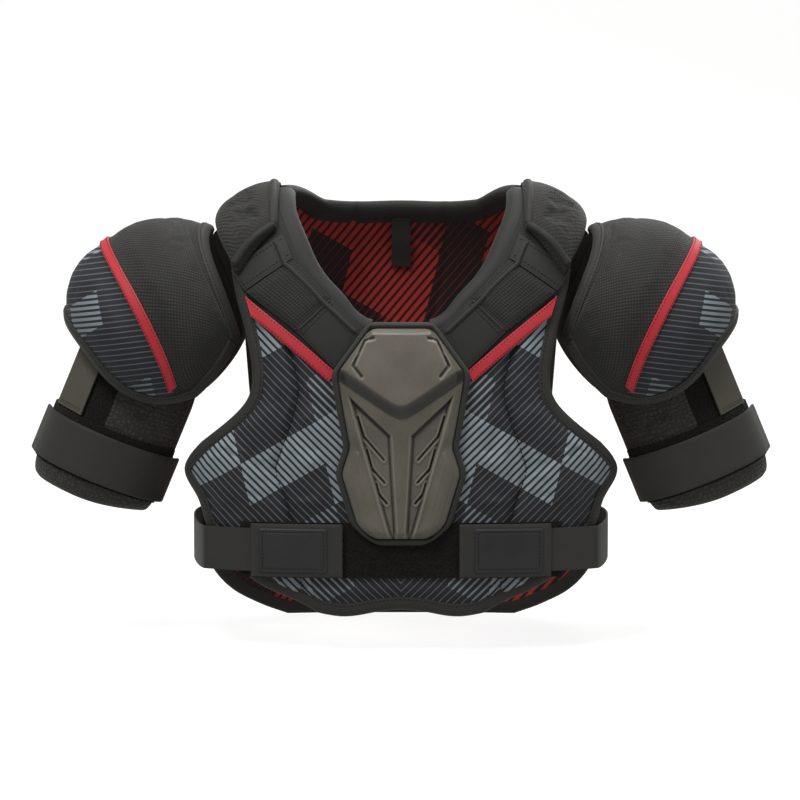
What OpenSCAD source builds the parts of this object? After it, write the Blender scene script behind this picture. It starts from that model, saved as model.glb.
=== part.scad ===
// Ice hockey shoulder pads: a chest bib and a back panel that hinge at the shoulders, closed by
// two belly straps, with a padded cap and a bicep guard on each arm.
// Millimetres. The wearer faces -Y, +X is the wearer's left and +Z is up. The origin is the
// middle of the neck opening, on the wearer's shoulder line.

/* [Body form] */
// Half width of the torso inside the pads
torso_half_w = 200; // [196:1:215]
// Half depth of the torso inside the pads
torso_half_d = 105; // [100:1:115]
// Level where the chest starts to turn in towards the shoulders
spring_z = -190; // [-195:1:-185]
// Height of the shoulders over that level
shoulder_rise = 208; // [204:1:212]
// Fall of the shoulder from the neck to the arm
shoulder_drop = 15; // [10:1:17]
// Extra height of the back panel at the nape
nape_rise = 16; // [10:1:22]
// Height of the crest that the shoulder line has at the corners of the neck, and its width to a side
neck_crest = 10; // [6:1:13]
neck_crest_w = 36; // [30:2:44]

/* [Chest and back] */
// Half width of the neck opening at the shoulder line
neck_half_w = 107; // [103:1:110]
// Half width of the yoke at the shoulder line
yoke_half_w = 150; // [147:1:152]
// Half width of the chest between the armholes
armhole_half_w = 127; // [122:1:129]
// Half width across the side wings
wing_half_w = 187; // [180:1:190]
// Half width of the straight part of the hem
hem_half_w = 72; // [55:1:85]
// Lowest point of the neck opening
neck_z = -95; // [-100:1:-92]
// Height of the tips of the side wings
wing_z = -214; // [-218:1:-210]
// Height of the chest hem
hem_z = -337; // [-350:1:-330]
// Height of the back hem
back_hem_z = -366; // [-375:1:-352]
// Half width of the back panel at the belly straps
back_half_w = 178; // [172:1:182]
// Thickness of the foam panels
panel_t = 12; // [10:0.5:13]
// Depth of the sewn channels in the panels
channel_depth = 4; // [2:0.5:6]
// Width of the bound edge
binding_w = 4; // [3:0.5:5]
// Width of the collar roll at the front
collar_w = 11; // [8:0.5:13]
// Height of the collar roll at the nape
nape_collar_w = 9; // [6:0.5:12]
// Thickness of one sewn ply of fabric
ply_t = 1.6; // [1.2:0.1:2]
// Width of the red trim
trim_w = 10; // [7:0.5:12]
// Thickness of the collarbone pads
collarbone_t = 12; // [8:0.5:13]
// Thickness of the pad over the spine
spine_t = 10; // [6:0.5:14]

/* [Sternum plate] */
// Height of the top edge
sternum_top_z = -84; // [-88:1:-80]
// Height of the foot
sternum_foot_z = -276; // [-282:1:-270]
// Half width at the shoulders of the plate
sternum_half_w = 61; // [56:1:64]
// Half width at the waist
sternum_waist_w = 50; // [46:1:54]
// Width of the bound edge round the plate
sternum_edge = 6; // [4:0.5:8]
// Thickness of the foam backing
backing_t = 5; // [3:0.5:7]
// Thickness of the moulded plate at its edge
plate_t = 3.5; // [2.5:0.5:5]
// Height of the moulded shield and ribs
relief_h = 4; // [2:0.5:5]

/* [Belly straps] */
// Width of the elastic
belly_w = 38; // [32:1:40]
// Width of the hook tab
belly_tab_w = 47; // [42:1:48]
// Thickness of the elastic
belly_t = 2; // [1.5:0.25:2.5]
// Height of the middle of the straps
belly_z = -281; // [-284:1:-280]
// Distance of the free end of the tab from the middle
belly_end_x = 51; // [45:1:56]

/* [Shoulder caps] */
// Distance of the cap's centre from the middle
cap_x = 205; // [203:1:210]
// Height of the cap's centre
cap_z = -80; // [-84:1:-78]
// Radius of the cap as seen from the front
cap_r = 100; // [98:1:103]
// Height of the cap's crown over its centre
cap_crown = 90; // [87:1:94]
// Half depth of the cap from front to back
cap_half_d = 96; // [94:1:102]
// Thickness of the padded shell
cap_t = 9; // [7:0.5:10]
// Thickness of the inner cup
cup_t = 2.5; // [2:0.5:3]

/* [Bicep guards] */
// Distance of the arm line from the middle at the shoulder
arm_x = 217; // [215:1:222]
// Height of the top of the arm line
arm_z = -75; // [-78:1:-72]
// Angle of the arm from the vertical
arm_tilt = 22.5; // [20:0.5:24]
// Outer radius of the guard
guard_r = 60; // [57:0.5:61]
// Thickness of the guard
guard_t = 8; // [6:0.5:9]
// Distance of the guard's top along the arm
guard_top = 50; // [48:1:54]
// Distance of the guard's hem along the arm
guard_hem = 182; // [176:1:184]
// Width of the bicep strap
bicep_w = 43; // [36:1:44]
// Thickness of the bicep strap
bicep_t = 2.5; // [2:0.25:3]
// Width of the strap between guard and cap
link_w = 26; // [20:1:28]

/* [Hidden] */

// Clearance between plies and between parts that touch
fit = 0.4;
// Roundness of the torso seen from above, and of the shoulder seen from the side
plan_power = 3;
arch_power = 2.2;
nape_power = 3.2;
// Angle over the shoulder at which the front and the back meet
top_level = 89.6;
// Angle over the shoulder at which the back panel ends at the nape
nape_level = 61;
// Thickness of a panel at its bound edge, as a share of the full thickness
edge_share = 0.65;
front = -1;
back = 1;

// Offsets of the layers from the torso form
ply_in = panel_t + fit;
ply_out = ply_in + ply_t;
over_ply = ply_out + fit;
backing_out = over_ply + backing_t;
plate_in = backing_out + fit;
belly_out = over_ply + belly_t;
tab_t = 2.2;
tab_in = belly_out + fit;
tab_out = tab_in + tab_t;
patch_in = tab_out + fit;
patch_out = patch_in + 1.2;

// Colours
black = "#2c2c2b";
deep_black = "#161617";
charcoal = "#2a2930";
red = "#d93a43";
grey = "#5b5850";

// Small tools
function mix(a, b, f) = a + (b - a) * f;
function unit(v) = v / norm(v);
function flat(lists) = [for (list = lists) each list];
function clamp(v) = max(0, min(1, v));
function soft_step(v) = let (c = clamp(v)) c * c * (3 - 2 * c);

// Smooth curve through pairs of position and value, in rising order of position
function curve(pairs, t) =
    let (last = len(pairs) - 1)
    t <= pairs[0][0] ? pairs[0][1] :
    t >= pairs[last][0] ? pairs[last][1] :
    let (
        i = max([for (k = [0:last - 1]) if (pairs[k][0] <= t) k]),
        before = pairs[max(0, i - 1)],
        a = pairs[i],
        b = pairs[i + 1],
        after = pairs[min(last, i + 2)],
        span = b[0] - a[0],
        f = (t - a[0]) / span,
        slope_a = (b[1] - before[1]) / (b[0] - before[0]) * span,
        slope_b = (after[1] - a[1]) / (after[0] - a[0]) * span
    )
    a[1] * (2 * f^3 - 3 * f^2 + 1) + b[1] * (3 * f^2 - 2 * f^3)
        + slope_a * (f^3 - 2 * f^2 + f) + slope_b * (f^3 - f^2);

// The torso form. A level up to 0 is a distance below the spring line, and a level from 0 to 90
// is the angle up over the shoulder. The side is front or back.
function plan_depth(x) =
    torso_half_d * pow(max(0, 1 - pow(abs(x) / torso_half_w, plan_power)), 1 / plan_power);
function neck_share(x) = clamp(abs(x) / neck_half_w);
function rise(x) =
    shoulder_rise
    + neck_crest * pow(max(0, 1 - pow((abs(x) - neck_half_w) / neck_crest_w, 2)), 2)
    - shoulder_drop * pow(max(0, abs(x) - neck_half_w) / (yoke_half_w - neck_half_w), 2);
function form(x, t, side) =
    let (
        lift = rise(x) + (side == back ? nape_rise * (1 - pow(neck_share(x), 2)) : 0),
        power = side == back ? mix(nape_power, arch_power, pow(neck_share(x), 2)) : arch_power,
        a = min(t, 90)
    )
    t <= 0 ? [x, side * plan_depth(x), spring_z + t]
        : [x, side * plan_depth(x) * pow(cos(a), 2 / power), spring_z + lift * pow(sin(a), 2 / power)];
function outward(x, t, side) =
    let (
        e = 0.4,
        across = form(x + e, t, side) - form(x - e, t, side),
        up = form(x, min(t + e, 90), side) - form(x, t - e, side)
    )
    -side * unit(cross(across, up));
function skin(x, t, side, off) = form(x, t, side) + off * outward(x, t, side);
function height_at(t) = t <= 0 ? spring_z + t : spring_z + shoulder_rise * pow(sin(t), 2 / arch_power);
function level_at(x, z) =
    z <= spring_z ? z - spring_z : asin(pow(min(1, (z - spring_z) / rise(x)), arch_power / 2));
function on_chest(x, z, off) = skin(x, level_at(x, z), front, off);

// A closed sheet: two point lists of one layout, the triangles of the first, and its edge loops
module thick_sheet(outer, inner, triangles, loops) {
    n = len(outer);
    walls = [for (loop = loops, i = [0:len(loop) - 1])
        let (a = loop[i], b = loop[(i + 1) % len(loop)])
        each [[a, b, b + n], [a, b + n, a + n]]];
    under = [for (f = triangles) [f[0] + n, f[2] + n, f[1] + n]];
    polyhedron(concat(outer, inner), concat(triangles, under, walls));
}

// A closed sheet between two grids of points with the same rows and columns
module grid_sheet(outer, inner) {
    rows = len(outer);
    cols = len(outer[0]);
    triangles = [for (r = [0:rows - 2], c = [0:cols - 2])
        let (a = r * cols + c)
        each [[a, a + cols, a + cols + 1], [a, a + cols + 1, a + 1]]];
    loop = concat(
        [for (c = [0:cols - 2]) c],
        [for (r = [0:rows - 2]) r * cols + cols - 1],
        [for (c = [cols - 1:-1:1]) (rows - 1) * cols + c],
        [for (r = [rows - 1:-1:1]) r * cols]);
    thick_sheet(flat(outer), flat(inner), triangles, [loop]);
}

// A tube through rings of points, closed into a hoop or capped at its ends
module tube(rings, hoop = false) {
    m = len(rings);
    k = len(rings[0]);
    sides = [for (i = [0:(hoop ? m - 1 : m - 2)], j = [0:k - 1])
        let (
            a = i * k + j,
            b = i * k + (j + 1) % k,
            c = ((i + 1) % m) * k + (j + 1) % k,
            d = ((i + 1) % m) * k + j
        )
        each [[a, b, c], [a, c, d]]];
    start = [for (j = [1:k - 2]) [0, j + 1, j]];
    finish = [for (j = [1:k - 2]) [(m - 1) * k, (m - 1) * k + j, (m - 1) * k + j + 1]];
    polyhedron(flat(rings), hoop ? sides : concat(sides, start, finish));
}

// Rings of a rolled edge along an edge given as outer and inner points, thinned at its ends by taper
function edge_rings(outer, inner, width, hoop = false, taper = 0) =
    let (last = len(outer) - 1)
    [for (i = [0:last])
        let (
            before = hoop ? outer[(i + last) % (last + 1)] : outer[max(0, i - 1)],
            after = hoop ? outer[(i + 1) % (last + 1)] : outer[min(last, i + 1)],
            out = unit(cross(after - before, outer[i] - inner[i])),
            o = outer[i] + fit * out,
            n = inner[i] + fit * out,
            roll = width * (1 - taper * pow(abs(2 * i / last - 1), 6)) * out
        )
        [n, n + 0.7 * roll, (o + n) / 2 + roll, o + 0.7 * roll, o]];

// A panel patch with corners given as pairs of x and level: low inner, low outer, top outer, top inner
function patch_grid(corners, rows, cols, side, offset) =
    [for (r = [0:rows])
        [for (c = [0:cols])
            let (
                low = mix(corners[0], corners[1], c / cols),
                high = mix(corners[3], corners[2], c / cols),
                p = mix(low, high, r / rows)
            )
            skin(p[0], p[1], side, offset(r / rows, c / cols))]];
function level_offset(h) = function (v, u) h;
function crown(v, u) = pow(max(0, 1 - pow(abs(2 * v - 1), 6)) * max(0, 1 - pow(abs(2 * u - 1), 6)), 0.5);
function pad_offset(low, t) = function (v, u) low + t * mix(0.5, 1, crown(v, u));
function chest_corners(pairs) = [for (p = pairs) [p[0], level_at(p[0], p[1])]];

module front_ply(pairs, rows, cols) {
    function points(off) =
        [for (r = [0:rows]) [for (c = [0:cols])
            let (
                low = mix(pairs[0], pairs[1], c / cols),
                high = mix(pairs[3], pairs[2], c / cols),
                p = mix(low, high, r / rows)
            )
            on_chest(p[0], p[1], off)]];
    grid_sheet(points(ply_out), points(ply_in));
}

// Chest panel: outer edge and neck edge as pairs of height and half width
side_z = mix(hem_z, wing_z, 0.8);
side_half_w = wing_half_w - 12;
chest_edge = [
    [hem_z, hem_half_w],
    [mix(hem_z, side_z, 0.2), mix(hem_half_w, side_half_w, 0.4)],
    [mix(hem_z, side_z, 0.45), mix(hem_half_w, side_half_w, 0.7)],
    [mix(hem_z, side_z, 0.7), mix(hem_half_w, side_half_w, 0.9)],
    [side_z, side_half_w],
    [wing_z, wing_half_w],
    [wing_z + 21, mix(wing_half_w, armhole_half_w, 0.2)],
    [wing_z + 60, mix(wing_half_w, armhole_half_w, 0.88)],
    [wing_z + 84, armhole_half_w],
    [wing_z + 126, armhole_half_w + 6],
    [wing_z + 174, yoke_half_w - 6],
    [spring_z + shoulder_rise, yoke_half_w]];
neck_edge = [
    [neck_z, 0],
    [neck_z + 8, 0.33 * neck_half_w],
    [neck_z + 32, 0.56 * neck_half_w],
    [neck_z + 56, 0.77 * neck_half_w],
    [neck_z + 76, 0.88 * neck_half_w],
    [neck_z + 96, 0.97 * neck_half_w],
    [spring_z + shoulder_rise, neck_half_w]];
neck_level = level_at(0, neck_z);
half_cols = 7;
seam_col = 4;
low_rows = 7;
wing_rows = 2;
breast_rows = 4;
yoke_rows = 8;
neck_row = low_rows + wing_rows + breast_rows;
chest_rows = neck_row + yoke_rows;
chest_cols = 2 * half_cols + 2;
chest_levels = concat(
    [for (i = [0:low_rows - 1]) mix(hem_z, wing_z, i / low_rows) - spring_z],
    [for (i = [0:wing_rows - 1]) mix(wing_z - spring_z, 0, i / wing_rows)],
    [for (i = [0:breast_rows - 1]) mix(0, neck_level, i / breast_rows)],
    [for (i = [0:yoke_rows]) mix(neck_level, top_level, i / yoke_rows)]);
function chest_x(r, j) =
    let (
        z = height_at(chest_levels[r]),
        inner = r <= neck_row ? 0 : curve(neck_edge, z)
    )
    mix(inner, curve(chest_edge, z), j / half_cols);
function chest_off(r, j) =
    j == half_cols || r == 0 ? panel_t * edge_share :
    j == seam_col && r < chest_rows ? panel_t - channel_depth :
    j == 0 && r > neck_row ? panel_t * 0.85 : panel_t;
// Columns run from the wearer's right edge to the left edge, with two at the middle
function chest_point(r, c, outer) =
    let (
        left = c > half_cols,
        j = left ? c - half_cols - 1 : half_cols - c
    )
    skin((left ? 1 : -1) * chest_x(r, j), chest_levels[r], front, outer ? chest_off(r, j) : 0);
function chest_index(r, c) = r * chest_cols + (r <= neck_row && c == half_cols + 1 ? half_cols : c);

module chest_panel() {
    function points(outer) = [for (r = [0:chest_rows], c = [0:chest_cols - 1]) chest_point(r, c, outer)];
    triangles = [for (r = [0:chest_rows - 1], c = [0:chest_cols - 2])
        let (
            a = chest_index(r, c),
            b = chest_index(r + 1, c),
            d = chest_index(r + 1, c + 1),
            e = chest_index(r, c + 1)
        )
        if (c != half_cols) each [[a, b, d], [a, d, e]]];
    loop = concat(
        [for (c = [0:chest_cols - 2]) if (c != half_cols) chest_index(0, c)],
        [for (r = [0:chest_rows - 1]) chest_index(r, chest_cols - 1)],
        [for (c = [chest_cols - 1:-1:half_cols + 2]) chest_index(chest_rows, c)],
        [for (r = [chest_rows:-1:neck_row + 1]) chest_index(r, half_cols + 1)],
        [for (r = [neck_row:chest_rows - 1]) chest_index(r, half_cols)],
        [for (c = [half_cols:-1:1]) chest_index(chest_rows, c)],
        [for (r = [chest_rows:-1:1]) chest_index(r, 0)]);
    color(charcoal) thick_sheet(points(true), points(false), triangles, [loop]);
}

module chest_binding() {
    last = chest_cols - 1;
    path = concat(
        [for (r = [chest_rows:-1:0]) [r, 0]],
        [for (c = [1:last - 1]) if (c != half_cols) [0, c]],
        [for (r = [0:chest_rows]) [r, last]]);
    color(black) tube(edge_rings(
        [for (p = path) chest_point(p[0], p[1], true)],
        [for (p = path) chest_point(p[0], p[1], false)],
        binding_w));
}

module left_front_collar() {
    path = [for (r = [chest_rows:-1:neck_row + 1]) r];
    color(black) tube(edge_rings(
        [for (r = path) chest_point(r, half_cols + 1, true)],
        [for (r = path) chest_point(r, half_cols + 1, false)],
        collar_w));
}
module right_front_collar() mirror([1, 0, 0]) left_front_collar();

// Sternum backing and plate
sternum_h = sternum_top_z - sternum_foot_z;
sternum_edge_line = [
    [sternum_foot_z, 0.34 * sternum_half_w],
    [sternum_foot_z + 0.026 * sternum_h, 0.49 * sternum_half_w],
    [sternum_foot_z + 0.094 * sternum_h, 0.72 * sternum_half_w],
    [sternum_foot_z + 0.33 * sternum_h, 0.94 * sternum_half_w],
    [sternum_foot_z + 0.45 * sternum_h, sternum_waist_w],
    [sternum_foot_z + 0.62 * sternum_h, mix(sternum_waist_w, sternum_half_w, 0.55)],
    [sternum_foot_z + 0.776 * sternum_h, sternum_half_w],
    [sternum_top_z, 0.47 * sternum_half_w]];

module sternum_backing() {
    rows = 16;
    cols = 8;
    function points(off) = [for (r = [0:rows]) let (z = mix(sternum_foot_z, sternum_top_z, r / rows))
        [for (c = [0:cols]) on_chest(mix(-1, 1, c / cols) * curve(sternum_edge_line, z), z, off)]];
    color(black) grid_sheet(points(backing_out), points(over_ply));
}

// Relief of the plate: a shield at the top, a channel under it, a rib that splits in two, and a
// raised pad on each side of the foot
shield_top = sternum_top_z - 0.052 * sternum_h;
shield_point = sternum_top_z - 0.36 * sternum_h;
shield_half_w = 0.7 * sternum_half_w;
shield_z = sternum_top_z - 0.22 * sternum_h;
vee_slope = (shield_z - shield_point) / shield_half_w;
channel_gap = 11;
arm_gap = 25;
stem_half_w = 10;
stem_foot_w = 6;
function vee(x, z) = (z - shield_point - vee_slope * abs(x)) / sqrt(1 + vee_slope * vee_slope);
function shield_depth(x, z) =
    min(vee(x, z), shield_top - z, (shield_half_w - abs(x)) + 0.6 * (shield_z - z));
function ridge(d) = soft_step(d / 4);
function foot_share(z) = clamp((z - sternum_foot_z) / (shield_point - sternum_foot_z));
function stem_w(z) = mix(stem_foot_w, stem_half_w, foot_share(z));
function pad_x(z) = mix(0.2, 0.72, foot_share(z)) * sternum_half_w;
function relief(x, z) =
    let (
        d = vee(x, z),
        shield = ridge(shield_depth(x, z)),
        under = ridge(-d - channel_gap),
        arms = under * ridge(d + arm_gap),
        stem = under * ridge(stem_w(z) - abs(x)),
        pad = under * ridge(abs(x) - pad_x(z))
    )
    max(shield, arms, stem, 0.7 * pad);

module sternum_plate() {
    rows = 44;
    cols = 32;
    under_cols = 8;
    ratio = cols / under_cols;
    foot = sternum_foot_z + sternum_edge;
    top = sternum_top_z - sternum_edge;
    function half_w(z) = curve(sternum_edge_line, z) - sternum_edge;
    function row_z(r) = mix(foot, top, r / rows);
    function rim(r, c) = ridge(4 * min(r, rows - r)) * ridge(4 * min(c, cols - c));
    function outer_point(r, c) =
        let (
            z = row_z(r),
            x = mix(-1, 1, c / cols) * half_w(z)
        )
        on_chest(x, z, plate_in + plate_t + relief_h * relief(x, z) * rim(r, c));
    function inner_point(r, c) =
        let (z = row_z(r))
        on_chest(mix(-1, 1, c / under_cols) * half_w(z), z, plate_in);
    outer = [for (r = [0:rows], c = [0:cols]) outer_point(r, c)];
    inner = [for (r = [0:rows], c = [0:under_cols]) inner_point(r, c)];
    n = len(outer);
    function o(r, c) = r * (cols + 1) + c;
    function i(r, c) = n + r * (under_cols + 1) + c;
    face = [for (r = [0:rows - 1], c = [0:cols - 1])
        each [[o(r, c), o(r + 1, c), o(r + 1, c + 1)], [o(r, c), o(r + 1, c + 1), o(r, c + 1)]]];
    under = [for (r = [0:rows - 1], c = [0:under_cols - 1])
        each [[i(r, c), i(r + 1, c + 1), i(r + 1, c)], [i(r, c), i(r, c + 1), i(r + 1, c + 1)]]];
    sides = [for (r = [0:rows - 1]) each [
        [o(r + 1, 0), o(r, 0), i(r, 0)],
        [o(r + 1, 0), i(r, 0), i(r + 1, 0)],
        [o(r, cols), o(r + 1, cols), i(r + 1, under_cols)],
        [o(r, cols), i(r + 1, under_cols), i(r, under_cols)]]];
    ends = [for (c = [0:under_cols - 1]) each concat(
        [for (k = [0:ratio - 1]) each [
            [o(0, c * ratio + k), o(0, c * ratio + k + 1), i(0, c)],
            [o(rows, c * ratio + k + 1), o(rows, c * ratio + k), i(rows, c)]]],
        [[o(0, (c + 1) * ratio), i(0, c + 1), i(0, c)],
            [o(rows, (c + 1) * ratio), i(rows, c), i(rows, c + 1)]])];
    color(grey) polyhedron(concat(outer, inner), concat(face, under, sides, ends));
}

module loop_strip() {
    rows = 2;
    cols = 20;
    half_l = 138;
    function points(off) = [for (r = [0:rows])
        [for (c = [0:cols])
            let (x = mix(-half_l, half_l, c / cols))
            on_chest(x, belly_z + mix(-0.5, 0.5, r / rows) * (belly_tab_w + 2), off)]];
    color(deep_black) grid_sheet(points(ply_out), points(ply_in));
}

// Yoke plies: along the neck side and along the arm side, from the shoulder to the sternum
yoke_inner = [[0.98 * neck_half_w, -10], [0.9 * neck_half_w, -31], [0.57 * neck_half_w, -64], [32, -90]];
yoke_outer = [[yoke_half_w - 4, -41], [0.885 * yoke_half_w, -58], [0.61 * yoke_half_w, -91], [56, -125]];
function yoke_ply(i, seam) =
    let (
        along_inner = seam * unit(yoke_inner[i] - yoke_inner[i + 1]),
        along_outer = seam * unit(yoke_outer[i] - yoke_outer[i + 1])
    )
    [yoke_inner[i + 1] + along_inner, yoke_outer[i + 1] + along_outer, yoke_outer[i], yoke_inner[i]];
seam_gap = 1;

module left_yoke_webbing() color(black) front_ply(yoke_ply(0, seam_gap), 3, 4);
module right_yoke_webbing() mirror([1, 0, 0]) left_yoke_webbing();
module left_yoke_mesh() color(black) front_ply(yoke_ply(1, seam_gap), 4, 4);
module right_yoke_mesh() mirror([1, 0, 0]) left_yoke_mesh();
module left_yoke_tab() color(black) front_ply(yoke_ply(2, seam_gap), 4, 4);
module right_yoke_tab() mirror([1, 0, 0]) left_yoke_tab();

module left_chest_trim() {
    start = yoke_outer[1] + [4, 0];
    finish = yoke_outer[3];
    along = unit(start - finish);
    down = [along[1], -along[0]];
    color(red) front_ply(
        [finish + seam_gap * down, finish + (seam_gap + trim_w) * down,
            start + (seam_gap + trim_w) * down, start + seam_gap * down], 8, 1);
}
module right_chest_trim() mirror([1, 0, 0]) left_chest_trim();

// Collarbone pad on the front and its match on the back
pad_half_w = yoke_half_w + 4;
pad_low_inner = [neck_half_w + 2, -6];
pad_low_outer = [yoke_half_w - 12, -44];
// The pad thins towards the neck, where the shoulder line has its crest
function shoulder_offset(v, u) =
    over_ply + collarbone_t * mix(0.5, 1, crown(v, u)) * mix(0.4, 1, soft_step(1.7 * u));
module shoulder_pad(side) {
    corners = concat(
        chest_corners([pad_low_inner, pad_low_outer]),
        [[pad_half_w, top_level], [neck_half_w + 2, top_level]]);
    outer = patch_grid(corners, 7, 7, side, function (v, u) shoulder_offset(v, u));
    inner = patch_grid(corners, 7, 7, side, level_offset(over_ply));
    color(black)
        if (side == front) grid_sheet(outer, inner);
        else grid_sheet(inner, outer);
}
module left_collarbone_pad() shoulder_pad(front);
module right_collarbone_pad() mirror([1, 0, 0]) left_collarbone_pad();
module left_rear_shoulder_pad() shoulder_pad(back);
module right_rear_shoulder_pad() mirror([1, 0, 0]) left_rear_shoulder_pad();

// Back panel: outer edge as pairs of height and half width
back_side_z = mix(back_hem_z, wing_z, 0.42);
back_hem_w = 1.5 * hem_half_w;
back_edge = [
    [back_hem_z, back_hem_w],
    [mix(back_hem_z, back_side_z, 0.14), mix(back_hem_w, back_half_w, 0.32)],
    [mix(back_hem_z, back_side_z, 0.37), mix(back_hem_w, back_half_w, 0.68)],
    [mix(back_hem_z, back_side_z, 0.68), mix(back_hem_w, back_half_w, 0.92)],
    [back_side_z, back_half_w],
    [wing_z, back_half_w],
    [wing_z + 21, mix(back_half_w, armhole_half_w, 0.2)],
    [wing_z + 60, mix(back_half_w, armhole_half_w, 0.88)],
    [wing_z + 84, armhole_half_w],
    [wing_z + 126, armhole_half_w + 6],
    [wing_z + 174, yoke_half_w - 6],
    [spring_z + shoulder_rise, yoke_half_w]];
back_low_rows = 9;
back_high_rows = 11;
back_rows = back_low_rows + back_high_rows;
back_channels = [3, 11];
function back_level(r) =
    r < back_low_rows ? (back_hem_z - spring_z) * (1 - r / back_low_rows)
        : top_level * (r - back_low_rows) / back_high_rows;
function back_x(r, c) = mix(1, -1, c / (2 * half_cols)) * curve(back_edge, height_at(back_level(r)));
function back_off(r, c) =
    c == 0 || c == 2 * half_cols || r == 0 ? panel_t * edge_share :
    len(search(c, back_channels)) > 0 && r < back_rows - 2 ? panel_t - channel_depth : panel_t;
// Columns run from the wearer's left edge to the right edge
function back_point(r, c, outer) =
    let (
        x = back_x(r, c),
        t = back_level(r),
        reach = mix(nape_level / top_level, 1, pow(neck_share(x), 3))
    )
    skin(x, t <= 0 ? t : t * reach, back, outer ? back_off(r, c) : 0);
neck_cols = [for (c = [0:2 * half_cols]) if (abs(back_x(back_rows, c)) <= neck_half_w + 1) c];

module back_panel() {
    function points(outer) =
        [for (r = [0:back_rows]) [for (c = [0:2 * half_cols]) back_point(r, c, outer)]];
    color(charcoal) grid_sheet(points(true), points(false));
}

module back_binding() {
    last = 2 * half_cols;
    path = concat(
        [for (r = [back_rows:-1:0]) [r, 0]],
        [for (c = [1:last - 1]) [0, c]],
        [for (r = [0:back_rows]) [r, last]]);
    color(black) tube(edge_rings(
        [for (p = path) back_point(p[0], p[1], true)],
        [for (p = path) back_point(p[0], p[1], false)],
        binding_w));
}

module back_collar() {
    path = [for (i = [len(neck_cols) - 1:-1:0]) neck_cols[i]];
    color(black) tube(edge_rings(
        [for (c = path) back_point(back_rows, c, true)],
        [for (c = path) back_point(back_rows, c, false)],
        nape_collar_w, false, 0.9));
}

module spine_pad() {
    rows = 14;
    cols = 6;
    half_w = 42;
    function points(offset) = [for (r = [0:rows])
        let (t = level_at(0, mix(hem_z + 60, -40, r / rows)))
        [for (c = [0:cols])
            skin(mix(1, -1, c / cols) * half_w * mix(0.7, 1, r / rows), t, back, offset(r / rows, c / cols))]];
    color(black) grid_sheet(points(pad_offset(ply_in, spine_t)), points(level_offset(ply_in)));
}

module locker_loop() {
    half_w = 9;
    corners = [[half_w, 34], [-half_w, 34], [-half_w, nape_level - 3], [half_w, nape_level - 3]];
    color(deep_black) grid_sheet(
        patch_grid(corners, 8, 2, back, level_offset(-2 * fit)),
        patch_grid(corners, 8, 2, back, level_offset(-2 * fit - ply_t)));
}

// Webbing that carries the cap, from the rear of the yoke under the pad to the cap's inner edge
module left_cap_strap() {
    function cap_end(u, gap, lift) = cap_point(u, cap_low(u), -cap_t) + [-gap - 4 * fit, 0, lift];
    function rows(lift) = [for (i = [0:6])
        let (
            t = mix(46, 84, i / 6),
            u = mix(-88, -14, i / 6),
            gap = max(1, mix(2, 1, i / 3)) * binding_w
        )
        concat(
            [cap_end(u, gap, lift)],
            [for (x = [yoke_half_w - 2, 0.9 * yoke_half_w, 0.8 * yoke_half_w])
                skin(x, t, back, ply_in + fit / 2 + lift)])];
    color(deep_black) grid_sheet(rows(ply_t), rows(0));
}
module right_cap_strap() mirror([1, 0, 0]) left_cap_strap();

// Belly strap: on the chest, round the side as a stretched curve, and on to the back panel
leave_x = wing_half_w - 21;
anchor_x = back_half_w - 8;
anchor_l = 26;
chest_steps = 6;
side_steps = 12;
function belly_front(x, off) = on_chest(x, belly_z, off);
function belly_rear(x, off) = skin(x, belly_z - spring_z, back, off);
function bezier(p, f) =
    p[0] * (1 - f)^3 + p[1] * 3 * f * (1 - f)^2 + p[2] * 3 * f^2 * (1 - f) + p[3] * f^3;
function belly_path(off) =
    let (
        a = belly_front(leave_x, off),
        b = belly_rear(anchor_x, off),
        reach = 0.13 * norm(b - a),
        along_a = unit(a - belly_front(leave_x - 1, off)),
        along_b = unit(belly_rear(anchor_x + 1, off) - b),
        side = [a, a + 0.4 * reach * along_a, b + 1.5 * reach * along_b, b]
    )
    concat(
        [for (i = [0:chest_steps - 1]) belly_front(mix(belly_end_x + 2, leave_x, i / chest_steps), off)],
        [for (i = [0:side_steps]) bezier(side, (1 - cos(180 * i / side_steps)) / 2)]);
module band(outer, inner, w) {
    function rows(path) = [for (z = [-w / 2, w / 2]) [for (p = path) p + [0, 0, z]]];
    grid_sheet(rows(outer), rows(inner));
}
module left_belly_strap() color(black) band(belly_path(belly_out), belly_path(over_ply), belly_w);
module right_belly_strap() mirror([1, 0, 0]) left_belly_strap();

module belly_ply(from_x, to_x, w, low, high) {
    steps = 7;
    function path(off) = [for (i = [0:steps]) belly_front(mix(from_x, to_x, i / steps), off)];
    band(path(high), path(low), w);
}
module left_belly_tab() color(black) belly_ply(belly_end_x, belly_end_x + 77, belly_tab_w, tab_in, tab_out);
module right_belly_tab() mirror([1, 0, 0]) left_belly_tab();
module left_belly_patch()
    color(deep_black) belly_ply(belly_end_x + 13, belly_end_x + 70, belly_tab_w - 8, patch_in, patch_out);
module right_belly_patch() mirror([1, 0, 0]) left_belly_patch();

module left_belly_anchor() {
    steps = 3;
    function path(off) =
        [for (i = [0:steps]) belly_rear(mix(anchor_x - 2 * fit, anchor_x - anchor_l, i / steps), off)];
    color(black) band(path(belly_out), path(over_ply - ply_t - fit), belly_w);
}
module right_belly_anchor() mirror([1, 0, 0]) left_belly_anchor();

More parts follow.
